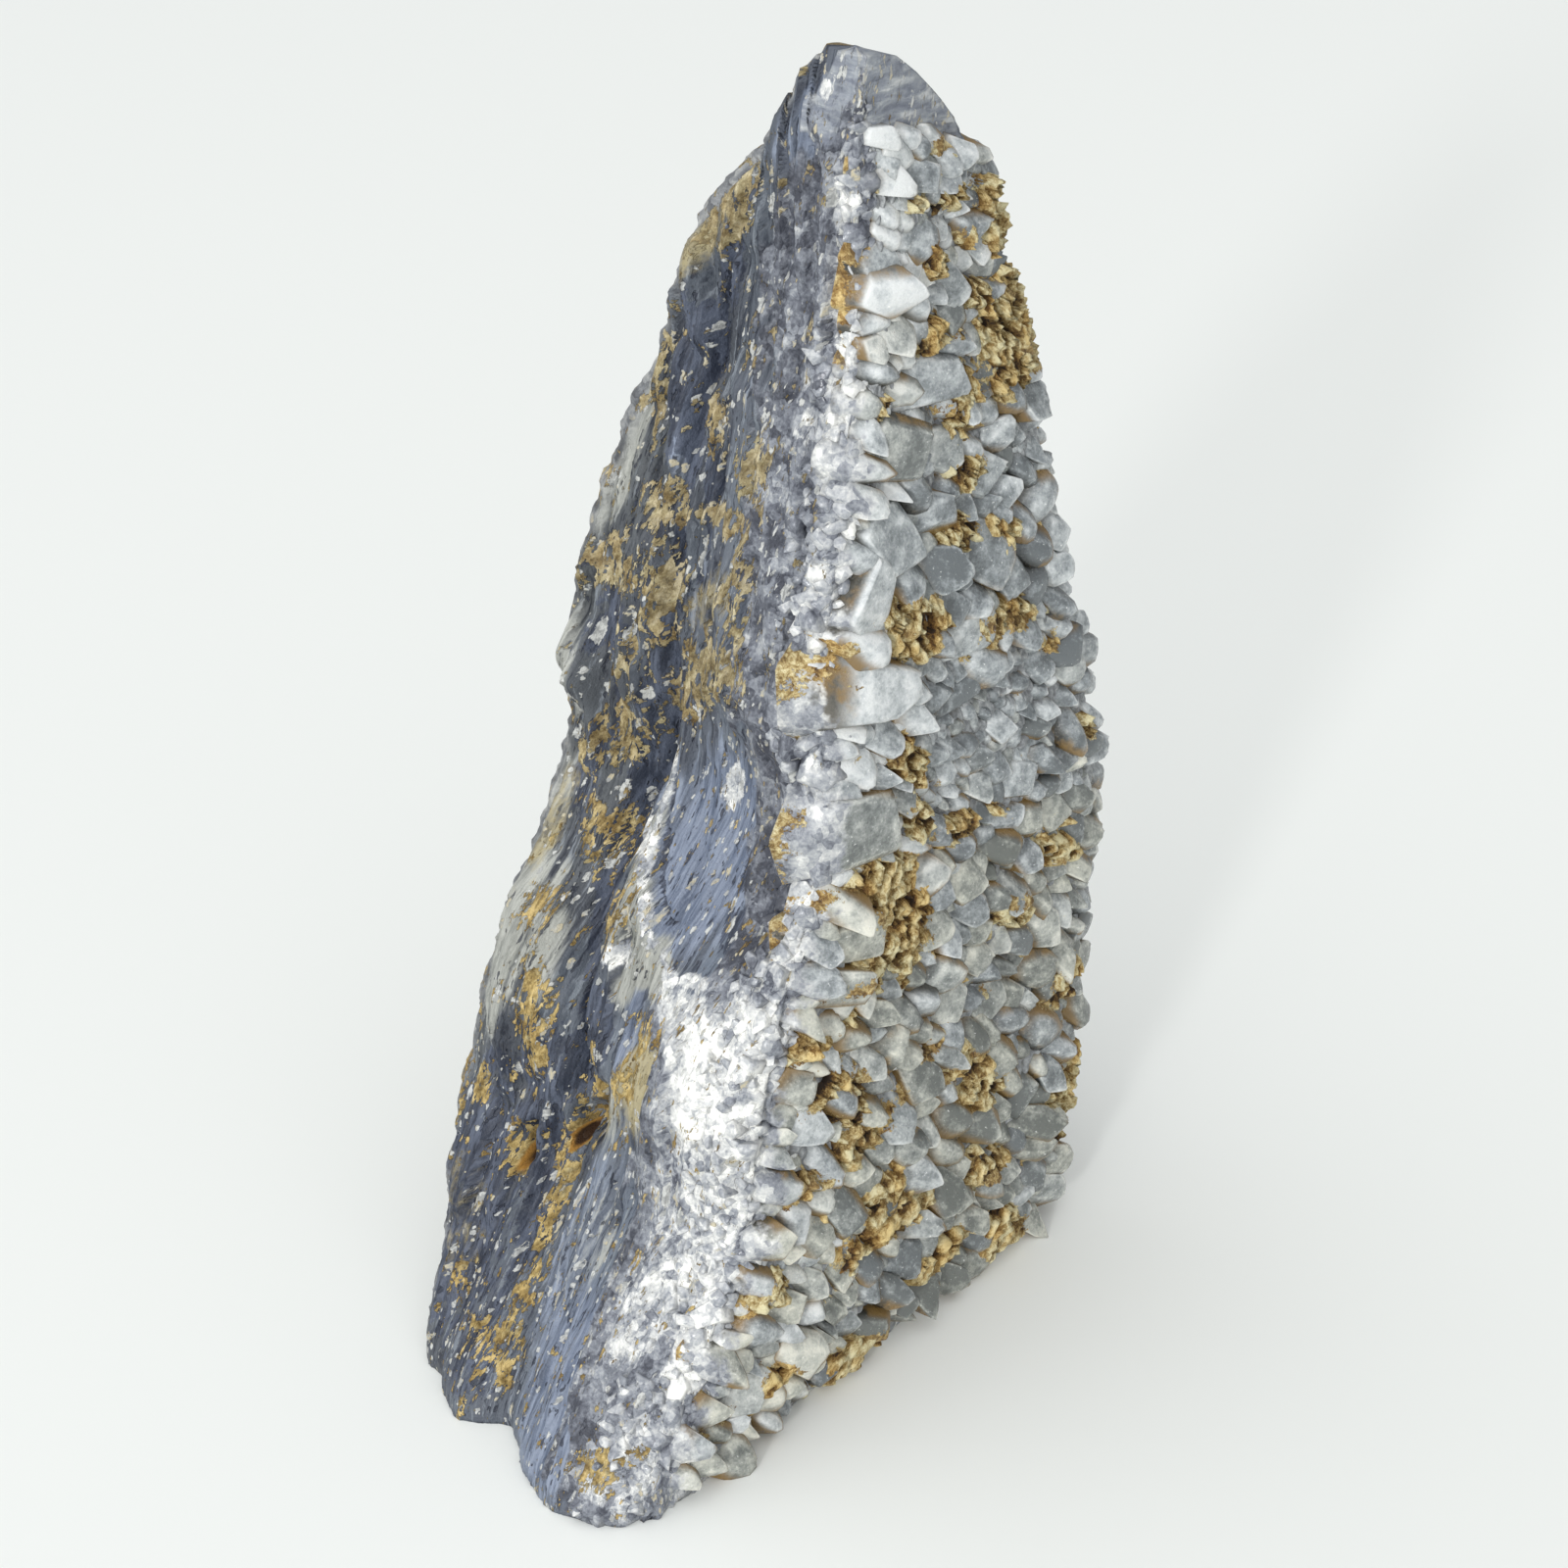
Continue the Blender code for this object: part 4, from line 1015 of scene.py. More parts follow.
# Clay between the crystals: share of FACE_LENGTH and of HEIGHT, half width, half height, lean and strength
CLAY_BETWEEN = (
    (0.58, 0.948, 0.09, 0.008, 0, 1.0), (0.98, 0.875, 0.2, 0.04, 0, 1.0),
    (0.4, 0.805, 0.11, 0.014, 0.5, 1.0), (0.95, 0.785, 0.26, 0.045, 0, 1.1),
    (0.58, 0.75, 0.09, 0.035, 0, 0.95), (0.53, 0.7, 0.1, 0.013, 0, 1.0),
    (0.5, 0.655, 0.1, 0.013, -3, 1.1), (0.68, 0.635, 0.08, 0.02, -1, 1.0),
    (0.3, 0.605, 0.13, 0.03, -2.5, 1.15), (0.05, 0.612, 0.03, 0.008, 0, 1.1),
    (0.66, 0.575, 0.13, 0.018, -2, 1.0), (0.26, 0.5, 0.06, 0.035, -2, 1.1),
    (0.3, 0.45, 0.05, 0.03, -1, 1.0), (0.2, 0.42, 0.12, 0.015, -2, 1.0),
    (0.3, 0.37, 0.09, 0.05, -1.0, 1.2), (0.2, 0.35, 0.08, 0.012, -1, 1.0),
    (0.44, 0.42, 0.12, 0.012, -2, 0.95), (0.05, 0.42, 0.03, 0.012, 0, 0.9),
    (0.68, 0.32, 0.05, 0.02, -2, 1.1), (0.8, 0.345, 0.06, 0.02, -3, 1.0),
    (0.05, 0.315, 0.06, 0.012, -1, 0.9), (0.18, 0.26, 0.08, 0.025, -2, 0.9),
    (0.13, 0.205, 0.06, 0.013, -1, 1.0), (0.25, 0.21, 0.06, 0.013, -1, 1.0),
    (0.56, 0.215, 0.06, 0.02, -2, 1.0), (0.63, 0.18, 0.07, 0.015, -2, 1.05),
    (0.38, 0.135, 0.12, 0.03, -1, 0.85), (1.0, 0.125, 0.13, 0.025, 0, 1.15),
    (0.7, 0.105, 0.06, 0.02, -1, 1.1), (0.45, 0.02, 0.08, 0.018, -2, 1.1),
    (0.23, 0.06, 0.05, 0.01, 0, 0.9), (0.62, 0.055, 0.08, 0.012, -2, 1.1),
    (0.81, 0.03, 0.06, 0.02, -1, 1.0), (1.2, 0.28, 0.05, 0.03, 0, 1.0),
    (1.2, 0.15, 0.06, 0.03, 0, 1.0), (0.85, 0.53, 0.05, 0.012, 0, 0.9),
    (0.9, 0.44, 0.05, 0.015, 0, 0.8), (0.9, 0.22, 0.06, 0.02, -1, 0.9),
    (0.45, 0.25, 0.05, 0.015, -1, 0.8), (0.1, 0.13, 0.05, 0.012, -1, 0.8),
    (1.1, 0.6, 0.06, 0.03, 0, 0.9), (0.72, 0.86, 0.06, 0.012, 0, 0.9),
    (0.3, 0.9, 0.07, 0.008, 0, 0.8), (0.12, 0.77, 0.05, 0.01, 0, 0.7),
    (0.6, 0.9, 0.1, 0.012, 0, 1.0), (0.45, 0.855, 0.08, 0.012, -2, 1.0),
    (0.75, 0.82, 0.1, 0.014, -2, 1.0), (0.55, 0.8, 0.06, 0.01, 0, 0.9),
)

# The floor's sheet, from and to as shares of FACE_LENGTH and HEIGHT, its points along and up, and how deep
# in the rock its closing point lies, in metres
FLOOR_FROM = (0.045, 0.0)
FLOOR_TO = (1.2, 0.962)
FLOOR_POINTS = (236, 396)
FLOOR_MIDDLE_DEPTH = 0.012

# The step in shares over which the face's slopes are taken, and how far the crust is sunk at the foot
FACE_NUDGE = 0.012
FOOT_SINK = 0.001

# Relief in millimetres: the clay's level, how low it lies where there is little, its flakes and holes, how
# deep the sheet's rim is sunk, and the tiny crystals
CLAY_LEVEL = 3.3
CLAY_SINK = 1.6
FLAKE_BEND = 1.6
FLAKE_LEVEL = 0.75
HOLE_DEPTH = 1.7
FLOOR_EDGE_SINK = 2.5
DRUSE_CELL = 1.9
DRUSE_LEVEL = 0.1
DRUSE_COLOURS = (
    (0.4, (0.12, 0.125, 0.13)), (0.55, (0.21, 0.22, 0.23)), (0.7, (0.36, 0.375, 0.38)),
    (0.85, (0.6, 0.61, 0.6)),
)
# Painted shade between the tiny crystals
DRUSE_GAP_SHADE = (0.1, 0.095, 0.085, 1)


def face_frame(share, up):
    """Points of the crystal face with their sideways, upward and outward directions, as arrays."""
    point = surface_point(share, up)
    side = section(share + FACE_NUDGE, up) - section(share - FACE_NUDGE, up)
    side = np.concatenate([side, np.zeros_like(side[..., :1])], axis=-1)
    climb = section(share, up + FACE_NUDGE) - section(share, up - FACE_NUDGE)
    climb = np.concatenate([climb, np.full_like(climb[..., :1], 2 * FACE_NUDGE * HEIGHT)], axis=-1)
    outward = np.cross(side, climb)
    outward /= np.linalg.norm(outward, axis=-1, keepdims=True)
    side /= np.linalg.norm(side, axis=-1, keepdims=True)
    return point, side, np.cross(outward, side), outward


def foot_sink(up):
    """How much lower the crust lies near the ground, where the stone is drawn in, in metres."""
    return FOOT_SINK * (1 - ramp(0.0, 0.08, up))


def clay_depth(share, up):
    """How full of clay the crystal face is, from 0 to about 1.2, ragged at the edges of its patches."""
    x, y = share * FACE_LENGTH / MM, up * HEIGHT / MM
    lower_face = 1 - ramp(0.35, 0.5, up)
    ragged = fractal(x / 4.2, y / 4.2, 61, 4) - 0.52
    return 1.15 * patches(share, up, CLAY_BETWEEN) + 2.0 * ragged + 0.16 * lower_face


def tiny_crystals(x, y):
    """Domes in cells of their own on low swells, in millimetres, with each cell's distance and number."""
    near, number = cells(x / DRUSE_CELL, y / DRUSE_CELL, 71)
    swells = 0.5 * (fractal(x / 6, y / 6, 72, 2) - 0.5)
    return DRUSE_LEVEL + (1 - near**2) * (0.6 + 0.8 * number) + swells, near, number


def crumbly_clay(x, y, depth):
    """Clay that rises with its depth, as curled flakes of two sizes, crumbs and holes, in millimetres."""
    bent_x = x + FLAKE_BEND * (noise(x / 1.8, y / 1.8, 78) - 0.5)
    bent_y = y + FLAKE_BEND * (noise(x / 1.8, y / 1.8, 79) - 0.5)
    large = 1 - abs(2 * fractal(bent_x / 2.3, bent_y / 1.7, 73, 2) - 1)
    small = 1 - abs(2 * noise(bent_x / 0.9, bent_y / 1.2, 74) - 1)
    flakes = ramp(0.45, 0.95, large) + 0.5 * ramp(0.5, 0.95, small)
    holes = ramp(0.5, 0.64, fractal(bent_x / 1.7, bent_y / 1.7, 75, 2))
    crumbs = 0.5 * (fractal(x / 0.9, y / 0.9, 76, 2) - 0.5)
    level = CLAY_LEVEL * ramp(0.3, 1.0, depth) - CLAY_SINK * ramp(0.45, 0.2, depth)
    return level + (flakes - FLAKE_LEVEL) + crumbs - HOLE_DEPTH * holes, flakes, holes


def floor_mesh():
    """A sheet over the crystal face: the higher of tiny crystals and clay, its rim sunk in the rock."""
    share = np.linspace(FLOOR_FROM[0], FLOOR_TO[0], FLOOR_POINTS[0])[None, :]
    up = np.linspace(FLOOR_FROM[1], FLOOR_TO[1], FLOOR_POINTS[1])[:, None]
    share, up = np.broadcast_arrays(share, up)
    x, y = share * FACE_LENGTH / MM, up * HEIGHT / MM
    druse, near, number = tiny_crystals(x, y)
    clay, flakes, holes = crumbly_clay(x, y, clay_depth(share, up))
    from_sides = np.minimum(share - FLOOR_FROM[0], FLOOR_TO[0] - share) / 0.05
    from_top = (FLOOR_TO[1] - up) / 0.04
    rim = np.minimum(from_sides, from_top) + 0.9 * (fractal(x / 5, y / 5, 77, 2) - 0.5)
    height = np.maximum(druse, clay) - FLOOR_EDGE_SINK * (1 - ramp(0.2, 0.9, rim))
    point, _, _, outward = face_frame(share, up)
    points = point + outward * (height * MM - foot_sink(up))[..., None]
    points[..., 2] = np.maximum(points[..., 2], 0)
    rows, columns = share.shape
    i = np.arange(rows - 1)[:, None] * columns
    j = np.arange(columns - 1)[None, :]
    quads = np.stack([i + j, i + j + 1, i + columns + j + 1, i + columns + j], axis=-1).reshape(-1, 4)
    index = np.arange(rows * columns).reshape(rows, columns)
    border = np.concatenate([index[0, :-1], index[:-1, -1], index[-1, :0:-1], index[:0:-1, 0]])
    middle = points[rows // 2, columns // 2] - outward[rows // 2, columns // 2] * FLOOR_MIDDLE_DEPTH
    total = rows * columns
    faces = quads.tolist() + [(int(b), int(a), total) for a, b in zip(border, np.roll(border, -1))]
    everything = np.concatenate([points.reshape(-1, 3), middle[None]])
    values = {
        "clay": np.append(np.clip(0.5 + 0.6 * (clay - druse), 0, 1), 0),
        "depth": np.append(np.clip(0.95 * holes + 0.75 * (FLAKE_LEVEL - flakes), -0.4, 1.2), 0),
        "tone": np.append(number, 0),
        "hollow": np.append(np.clip(near - 0.35, 0, 1), 0),
    }
    spots = np.stack([x, y, height], axis=-1).reshape(-1, 3)
    vectors = {"spots": np.concatenate([spots, np.zeros((1, 3))])}
    return mesh_piece("crevice_floor", to_world(everything), faces, values, vectors)


def floor_material():
    """Grey-blue tiny crystals with painted shade between them, under crumbly clay."""
    material, tree, shader = new_material("druse_and_clay")
    spots = field(tree, "spots", "Vector")
    mottle = grain(tree, spots, 0.9, 4.0, 0.65)
    colour = colour_ramp(tree, add_share(tree, mottle, 0.12, field(tree, "tone")), DRUSE_COLOURS)
    # Painted shade between the tiny crystals
    gap = calc(tree, "MULTIPLY", rise(tree, 0.1, 0.4, field(tree, "hollow")), 0.6)
    colour = blend(tree, gap, colour, DRUSE_GAP_SHADE)
    clay = group_node(tree, clay_nodes, {
        "Vector": spots, "Amount": field(tree, "clay"), "Depth": field(tree, "depth")})
    colour = blend(tree, clay["Mask"], colour, clay["Color"])
    tree.links.new(colour, shader.inputs["Base Color"])
    rough = calc(tree, "ADD", 0.42, calc(tree, "MULTIPLY", clay["Mask"], 0.45), clamp=True)
    tree.links.new(rough, shader.inputs["Roughness"])
    crumbs = calc(tree, "MULTIPLY", clay["Height"], clay["Mask"])
    add_bump(tree, shader, add_share(tree, calc(tree, "MULTIPLY", mottle, 0.5), 0.9, crumbs), 0.8, 0.0006)
    return material


crevice_floor = floor_mesh()
crevice_floor.data.materials.append(floor_material())
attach(crevice_floor, "root")

# The crystals: short quartz blocks grown from the rock and packed like shingles, each with its free end to
# the lower right, and larger blocks along the ridge. Their flat faces meet at crisp, slightly softened
# edges, with a painted highlight along them.
CRYSTAL_SIZE = 0.005
CRYSTAL_SEED = 7
CRYSTALS_FROM = (0.02, 0.016)
CRYSTALS_TO = (1.14, 0.955)

# Strip beside the ridge without loose crystals: its width low down and high up, in shares of FACE_LENGTH
RIDGE_STRIP = (0.05, 0.13)

# Shape of a crystal: how its corners are shaken and cut, in shares, the width of the painted edge highlight
# in metres, the share of the top inside its last ring, its roll in degrees, and how far a round top falls
CORNER_SHAKE = 0.24
CORNER_CUT = 0.06
EDGE_HIGHLIGHT_WIDTH = 0.00022
TOP_SHARE = 0.94
TOP_ROLL = 16
ROUND_FALL = 0.7

# The root: its depth in the rock as a share of the length plus so much in metres, how far below the top it
# counts for the painted crevice shade and the stains, and the rings down the sides as shares of the way to
# it, with the share of the painted rim highlight that each keeps. They flare out, less at the free end.
ROOT_SHARE = 0.22
ROOT_LEAST = 0.001
ROOT_BELOW = 4 * MM
SIDE_RINGS = (0.12, 0.5, 1.0)
SIDE_RIMS = (0.9, 0.3, 0.0)
FLARE = 0.26
FLARE_LESS = 0.24

# Free ends point to the lower right: their heading and slope with the spread of each, in degrees
HEADING = -42
HEADING_SPREAD = 64
SMALL_SPREAD = 100
SLOPE = (12, 22)
SMALL_SLOPE = (8, 24)

# Softness of the edges in metres, least and spread
BLOCK_SOFTNESS = 0.00016
CRYSTAL_SOFTNESS = (0.00008, 0.00022)
SMALL_SOFTNESS = (0.00006, 0.0001)

# Sowing: places tried, size as a share of CRYSTAL_SIZE, and spacing as a share of two neighbours' mean
# size. A main block counts with a share of its mean breadth.
SOWN = (16000, 1.0, 0.72)
SOWN_SMALL = (11000, 0.6, 0.7)
BLOCK_CLEARANCE = 0.85

# Points along each side of a crystal's outline, and rings over its top
BLOCK_STEPS = (8, 12)
CRYSTAL_STEPS = (4, 5)
SMALL_STEPS = (3, 4)

# Colours of the milky quartz, from the darkest body to the whitest rims, which painted highlights reach,
# and of the painted shade and the stains in its crevices
QUARTZ_COLOURS = (
    (0.52, (0.13, 0.145, 0.152)), (0.64, (0.24, 0.262, 0.272)), (0.75, (0.385, 0.41, 0.418)),
    (0.87, (0.55, 0.575, 0.58)), (1.0, (0.69, 0.705, 0.7)),
)
WARM_TINT = (1.0, 0.94, 0.76)
FROST = (0.9, 0.9, 0.88, 1)
# Painted shade in the crevices, then the brown stains
CREVICE_SHADE_TINT = (0.16, 0.14, 0.11)
CREVICE_STAIN = (0.25, 0.155, 0.05, 1)
RIDGE_WHITENESS = 0.65

# Cuts of a crystal's top: way and spread in degrees, nearest and farthest line in shares of its reach, and
# steepness in degrees
CUTS = (
    (90, 50, 0.05, 0.8, 38), (270, 50, 0.05, 0.8, 38), (0, 70, 0.4, 0.95, 52), (180, 60, 0.0, 0.8, 22),
)
BLOCK_CUTS = (
    (90, 40, 0.45, 0.8, 50), (270, 40, 0.45, 0.8, 50), (0, 60, 0.5, 0.8, 55), (180, 50, 0.1, 0.6, 20),
)

# Patches of smaller and larger crystals: share, up, half length, half height and size
SIZE_PATCHES = {
    "small nodules": (0.6, 0.48, 0.3, 0.07, 0.66),
    "round lumps": (0.72, 0.62, 0.25, 0.08, 1.15),
    "low shells": (0.5, 0.22, 0.4, 0.14, 1.2),
    "fine top": (0.5, 0.93, 0.8, 0.1, 0.68),
    "upper face": (0.5, 0.8, 0.5, 0.08, 0.8),
}

# Outlines of a crystal seen from its top, as corners in shares of half its length and half its width, from
# the free end round
OUTLINES = {
    "rhomb": ((1.0, -0.1), (0.25, 0.95), (-0.75, 0.8), (-0.95, -0.5), (0.1, -1.0)),
    "block": ((0.95, -0.75), (0.9, 0.8), (-0.7, 0.95), (-1.0, 0.0), (-0.75, -0.9)),
    "kite": ((1.05, 0.15), (0.3, 0.95), (-0.85, 0.5), (-0.8, -0.6), (0.35, -0.95)),
    "triangle": ((1.0, 0.0), (-0.5, 1.0), (-0.95, 0.3), (-0.95, -0.4), (-0.5, -1.0)),
    "slab": ((0.7, -0.9), (1.0, 0.3), (0.2, 1.0), (-0.9, 0.6), (-0.8, -0.7)),
}

# Main blocks: share, up, length, width and middle height in millimetres, heading of the free end and slope
# of the top in degrees, roundness, outline
MAIN_BLOCKS = {
    "top white": (0.4, 0.775, 14.0, 9.5, 3.2, -10, 14, 0.1, "block"),
    "top grey": (0.22, 0.735, 11.0, 9.0, 3.4, -20, 10, 0.1, "block"),
    "grey trapezoid": (0.195, 0.672, 11.5, 8.5, 3.2, -62, 8, 0.0, "block"),
    "white triangle": (0.115, 0.645, 12.0, 9.0, 3.4, 85, 2, 0.0, "triangle"),
    "long middle": (0.14, 0.572, 16.5, 13.0, 3.8, -10, 12, 0.0, "triangle"),
    "lower long": (0.09, 0.468, 14.5, 11.0, 3.2, -6, 11, 0.1, "block"),
    "lower left": (0.15, 0.383, 16.0, 8.0, 3.0, -10, 12, 0.1, "slab"),
    "centre lump": (0.5, 0.575, 13.0, 10.0, 2.8, -15, 12, 0.3, "kite"),
    "centre shell": (0.47, 0.53, 12.0, 5.5, 2.2, 15, 12, 0.3, "slab"),
    "round blue": (0.79, 0.583, 8.5, 8.5, 3.2, -40, 8, 0.8, "kite"),
    "round grey": (0.87, 0.65, 9.5, 9.0, 3.2, -40, 8, 0.8, "kite"),
    "bright cluster": (0.68, 0.43, 8.0, 7.0, 2.4, -20, 14, 0.2, "block"),
    "pointed": (0.42, 0.35, 8.0, 8.0, 2.2, -60, 18, 0.0, "kite"),
    "shell one": (0.5, 0.275, 10.5, 8.0, 2.0, -50, 16, 0.2, "rhomb"),
    "shell two": (0.79, 0.385, 9.0, 7.5, 2.0, -50, 16, 0.3, "block"),
    "shell three": (0.63, 0.25, 9.5, 7.5, 2.0, -50, 16, 0.2, "slab"),
    "shell four": (0.3, 0.175, 9.5, 7.0, 2.0, -45, 16, 0.1, "block"),
    "wide shell": (0.76, 0.15, 10.5, 8.0, 2.1, -50, 15, 0.3, "block"),
    "foot block": (0.14, 0.06, 12.0, 8.5, 2.0, -35, 15, 0.0, "slab"),
    "foot shell": (0.5, 0.075, 10.0, 8.0, 2.0, -45, 15, 0.1, "rhomb"),
    "grey upper": (0.46, 0.72, 10.0, 7.0, 2.4, -20, 14, 0.0, "kite"),
    "upper right": (0.62, 0.69, 8.5, 7.0, 2.4, -35, 14, 0.1, "block"),
    "white flake": (0.12, 0.25, 11.0, 8.0, 2.4, -40, 16, 0.0, "triangle"),
}


def crystal_size(share, up):
    """Size of the crystals at a place, from the patches of larger and smaller ones."""
    size = 1.0
    for along, height, half_length, half_height, factor in SIZE_PATCHES.values():
        size = size * (1 + (factor - 1) * bump(share - along, up - height, half_length, half_height, 0.6))
    return size * (1 - 0.3 * ramp(0.96, 1.08, share)) * CRYSTAL_SIZE


def clear_places(place, size, spacing, taken):
    """Takes places one by one, each clear of those before it by a share of their mean size."""
    places, sizes = taken
    chosen = []
    for k in range(len(place)):
        if (np.linalg.norm(places - place[k], axis=1) >= spacing * 0.5 * (size[k] + sizes)).all():
            places = np.vstack([places, place[k]])
            sizes = np.append(sizes, size[k])
            chosen.append(k)
    return chosen, (places, sizes)


def sow(seed, tries, scale, spacing, taken):
    """Places crystals over the face, but few where clay fills it and none on the strip beside the ridge."""
    rng = np.random.default_rng(seed)
    share, up, chance, keep = rng.random((4, tries))
    share = CRYSTALS_FROM[0] + (CRYSTALS_TO[0] - CRYSTALS_FROM[0]) * share
    up = CRYSTALS_FROM[1] + (CRYSTALS_TO[1] - CRYSTALS_FROM[1]) * up
    buried = 0.95 * ramp(0.5, 0.8, clay_depth(share, up))
    ridge_gap = RIDGE_STRIP[0] + (RIDGE_STRIP[1] - RIDGE_STRIP[0]) * ramp(0.75, 0.9, up)
    kept = keep >= np.maximum(buried, share < ridge_gap)
    share, up = share[kept], up[kept]
    size = crystal_size(share, up) * scale * (0.72 + 0.56 * chance[kept])
    place = np.concatenate([section(share, up), (up * HEIGHT)[:, None]], axis=1)
    chosen, taken = clear_places(place, size, spacing, taken)
    return share[chosen], up[chosen], size[chosen], taken


def crystal_top(rng, x, y, spans, slope, softness, lines):
    """Height of the tops: a plane that climbs to the free end, less what sloping cuts take off its rim.

    Each cut lowers the top by its own slope times the distance beyond its line, and the cuts' edges are
    softened by a logarithm of summed exponentials. The same logarithm less the largest cut is 1 on an edge,
    and gives the painted highlight along the edges.
    """
    count = len(spans)
    half_length, half_width, middle = spans[:, 0] / 2, spans[:, 1] / 2, spans[:, 2]

    def each(values):
        """One value for each crystal, shaped to go with its rings of points."""
        return np.asarray(values)[:, None, None]

    roll = np.tan(np.radians(TOP_ROLL * (rng.random(count) - 0.5)))
    plane = each(middle) + each(np.tan(slope)) * x + each(roll) * y
    cuts = [np.zeros_like(x)]
    for turn, spread, nearest, farthest, steep in lines:
        way = np.radians(turn + spread * (rng.random(count) - 0.5))
        reach = np.hypot(half_length * np.cos(way), half_width * np.sin(way))
        line = reach * (nearest + (farthest - nearest) * rng.random(count))
        fall = np.tan(np.radians(steep * (0.6 + 0.8 * rng.random(count))))
        beyond = each(np.cos(way)) * x + each(np.sin(way)) * y - each(line)
        cuts.append(each(fall) * beyond)
    cuts = np.stack(cuts)
    wear_and_edge_highlight = (np.logaddexp.reduce(cuts / EDGE_HIGHLIGHT_WIDTH) - cuts.max(axis=0) / EDGE_HIGHLIGHT_WIDTH) / math.log(2)
    return plane, plane - each(softness) * np.logaddexp.reduce(cuts / each(softness)), wear_and_edge_highlight


def crystal_outlines(outlines, roundness, side_steps, rng):
    """Points round each outline: its corners shaken and cut, then drawn to a circle by its roundness."""
    corner = outlines + CORNER_SHAKE * (rng.random(outlines.shape) - 0.5)
    part = np.linspace(CORNER_CUT, 1 - CORNER_CUT, side_steps)[:, None]
    outline = corner[:, :, None] * (1 - part) + np.roll(corner, -1, axis=1)[:, :, None] * part
    outline = outline.reshape(len(outlines), -1, 2)
    reach = np.linalg.norm(outline, axis=-1, keepdims=True)
    return outline * (1 - roundness[:, None, None] * (1 - 1 / reach))


def crystal_faces(count, rows, columns):
    """Quads between each crystal's rings, with a fan of triangles at its crown and one at its root."""
    quads = ring_faces(rows, columns)[:, ::-1]
    j = np.arange(columns)
    following = (j + 1) % columns
    last = (rows - 1) * columns
    crown = np.full(columns, rows * columns)
    fans = np.concatenate([np.stack([j, following, crown], axis=1),
                           np.stack([last + following, last + j, crown + 1], axis=1)])
    first = np.arange(count)[:, None, None] * (rows * columns + 2)
    return (quads[None] + first).reshape(-1, 4).tolist() + (fans[None] + first).reshape(-1, 3).tolist()


def stand_on_face(places, across, climb, z, lift):
    """Points of the crystals, laid out from their places along the face's own three directions there."""
    share, up = places
    point, side, rise_way, outward = face_frame(share, up)
    out = z + np.reshape(lift, (-1, 1)) - foot_sink(up)[:, None]
    points = (point[:, None] + across[..., None] * side[:, None] + climb[..., None] * rise_way[:, None]
              + out[..., None] * outward[:, None])
    points[..., 2] = np.maximum(points[..., 2], 0)
    return points


def crystal_mesh(name, places, spans, headings, slope, softness, roundness, outlines, steps, rng, lift=0.0,
                 lines=CUTS):
    """Crystals from rings of one outline, which grow over the top to its rim and then go down the sides."""
    count = len(spans)
    side_steps, top_steps = steps
    outline = crystal_outlines(outlines, roundness, side_steps, rng)
    grown = np.append(TOP_SHARE * np.linspace(0, 1, top_steps + 1), 1.0)[None, :, None]
    x = grown * outline[:, None, :, 0] * spans[:, 0, None, None] / 2
    y = grown * outline[:, None, :, 1] * spans[:, 1, None, None] / 2
    plane, z, wear_and_edge_highlight = crystal_top(rng, x, y, spans, slope, softness, lines)
    z = z - ROUND_FALL * (roundness * spans[:, 2])[:, None, None] * grown**2
    centre = z[:, 0, 0]

    depth = (ROOT_SHARE * spans[:, 0] + ROOT_LEAST)[:, None, None]
    down = np.array(SIDE_RINGS)[None, :, None]
    flare = 1 + (FLARE - FLARE_LESS * outline[:, None, :, 0]) * down
    rim_z = z[:, -1:]
    low_z = rim_z - down * (rim_z + depth)
    low_plane = np.broadcast_to(plane[:, -1:], low_z.shape)
    x = np.concatenate([x[:, 1:], x[:, -1:] * flare], axis=1)
    y = np.concatenate([y[:, 1:], y[:, -1:] * flare], axis=1)
    z = np.concatenate([z[:, 1:], low_z], axis=1)
    below = np.concatenate([plane[:, 1:], low_plane], axis=1) - z
    edges = np.concatenate([wear_and_edge_highlight[:, 1:], 0 * low_z], axis=1)
    rows, columns = z.shape[1:]

    def flat(grid, crown, root):
        """A grid of rings as one row for each crystal, with its values at the crown and at the root."""
        return np.concatenate([grid.reshape(count, -1), crown[:, None], root[:, None]], axis=1)

    zero = np.zeros(count)
    x, y = flat(x, zero, zero), flat(y, zero, zero)
    z, below = flat(z, centre, -depth[:, 0, 0]), flat(below, zero, zero + ROOT_BELOW)
    edges = flat(edges, wear_and_edge_highlight[:, 0, 0], zero)
    rim = np.repeat(np.concatenate([grown[0, 1:, 0], SIDE_RIMS]), columns)
    rim = np.append(rim, [0.0, 0.0])
    heading = headings[:, None]
    across = x * np.cos(heading) - y * np.sin(heading)
    climb = x * np.sin(heading) + y * np.cos(heading)
    points = stand_on_face(places, across, climb, z, lift)

    share = places[0][:, None] + across / FACE_LENGTH
    up = places[1][:, None] + climb / HEIGHT
    full = clay_depth(share, up)
    tones = rng.random((count, 2))
    # Painted light: crystals near the ridge lighter, as if lit from the left, more so higher up; those near
    # the top are made lighter as well
    lit_by_ridge = (1 - ramp(0.05, 0.55, share)) * (1 + 0.4 * ramp(0.35, 0.6, up))
    # Painted light in the values: end and rim give painted highlights on the free rims, the edge value a
    # painted highlight along the edges, lit painted light, and below_top the painted shade and the stains
    # down the sides
    values = {
        "tone": np.repeat(tones[:, :1], z.shape[1], axis=1),
        "warmth": 0.75 * tones[:, 1:] + 0.45 * (1 - ramp(0.3, 0.5, up)),
        "below_top": below / MM,
        "end": x / (spans[:, :1] / 2),
        "wear_and_edge_highlight": edges,
        "rim": np.broadcast_to(rim, z.shape),
        "lit": lit_by_ridge + 0.4 * ramp(0.76, 0.88, up),
        "clay": 1.25 * full + 0.1 - 0.26 * z / MM - 0.6 * (1 - ramp(0.02, 0.1, share)),
        "full": full,
        "merge": 1 - ramp(0.0, 0.1, share),
    }
    return mesh_piece(name, to_world(points), crystal_faces(count, rows, columns), values)


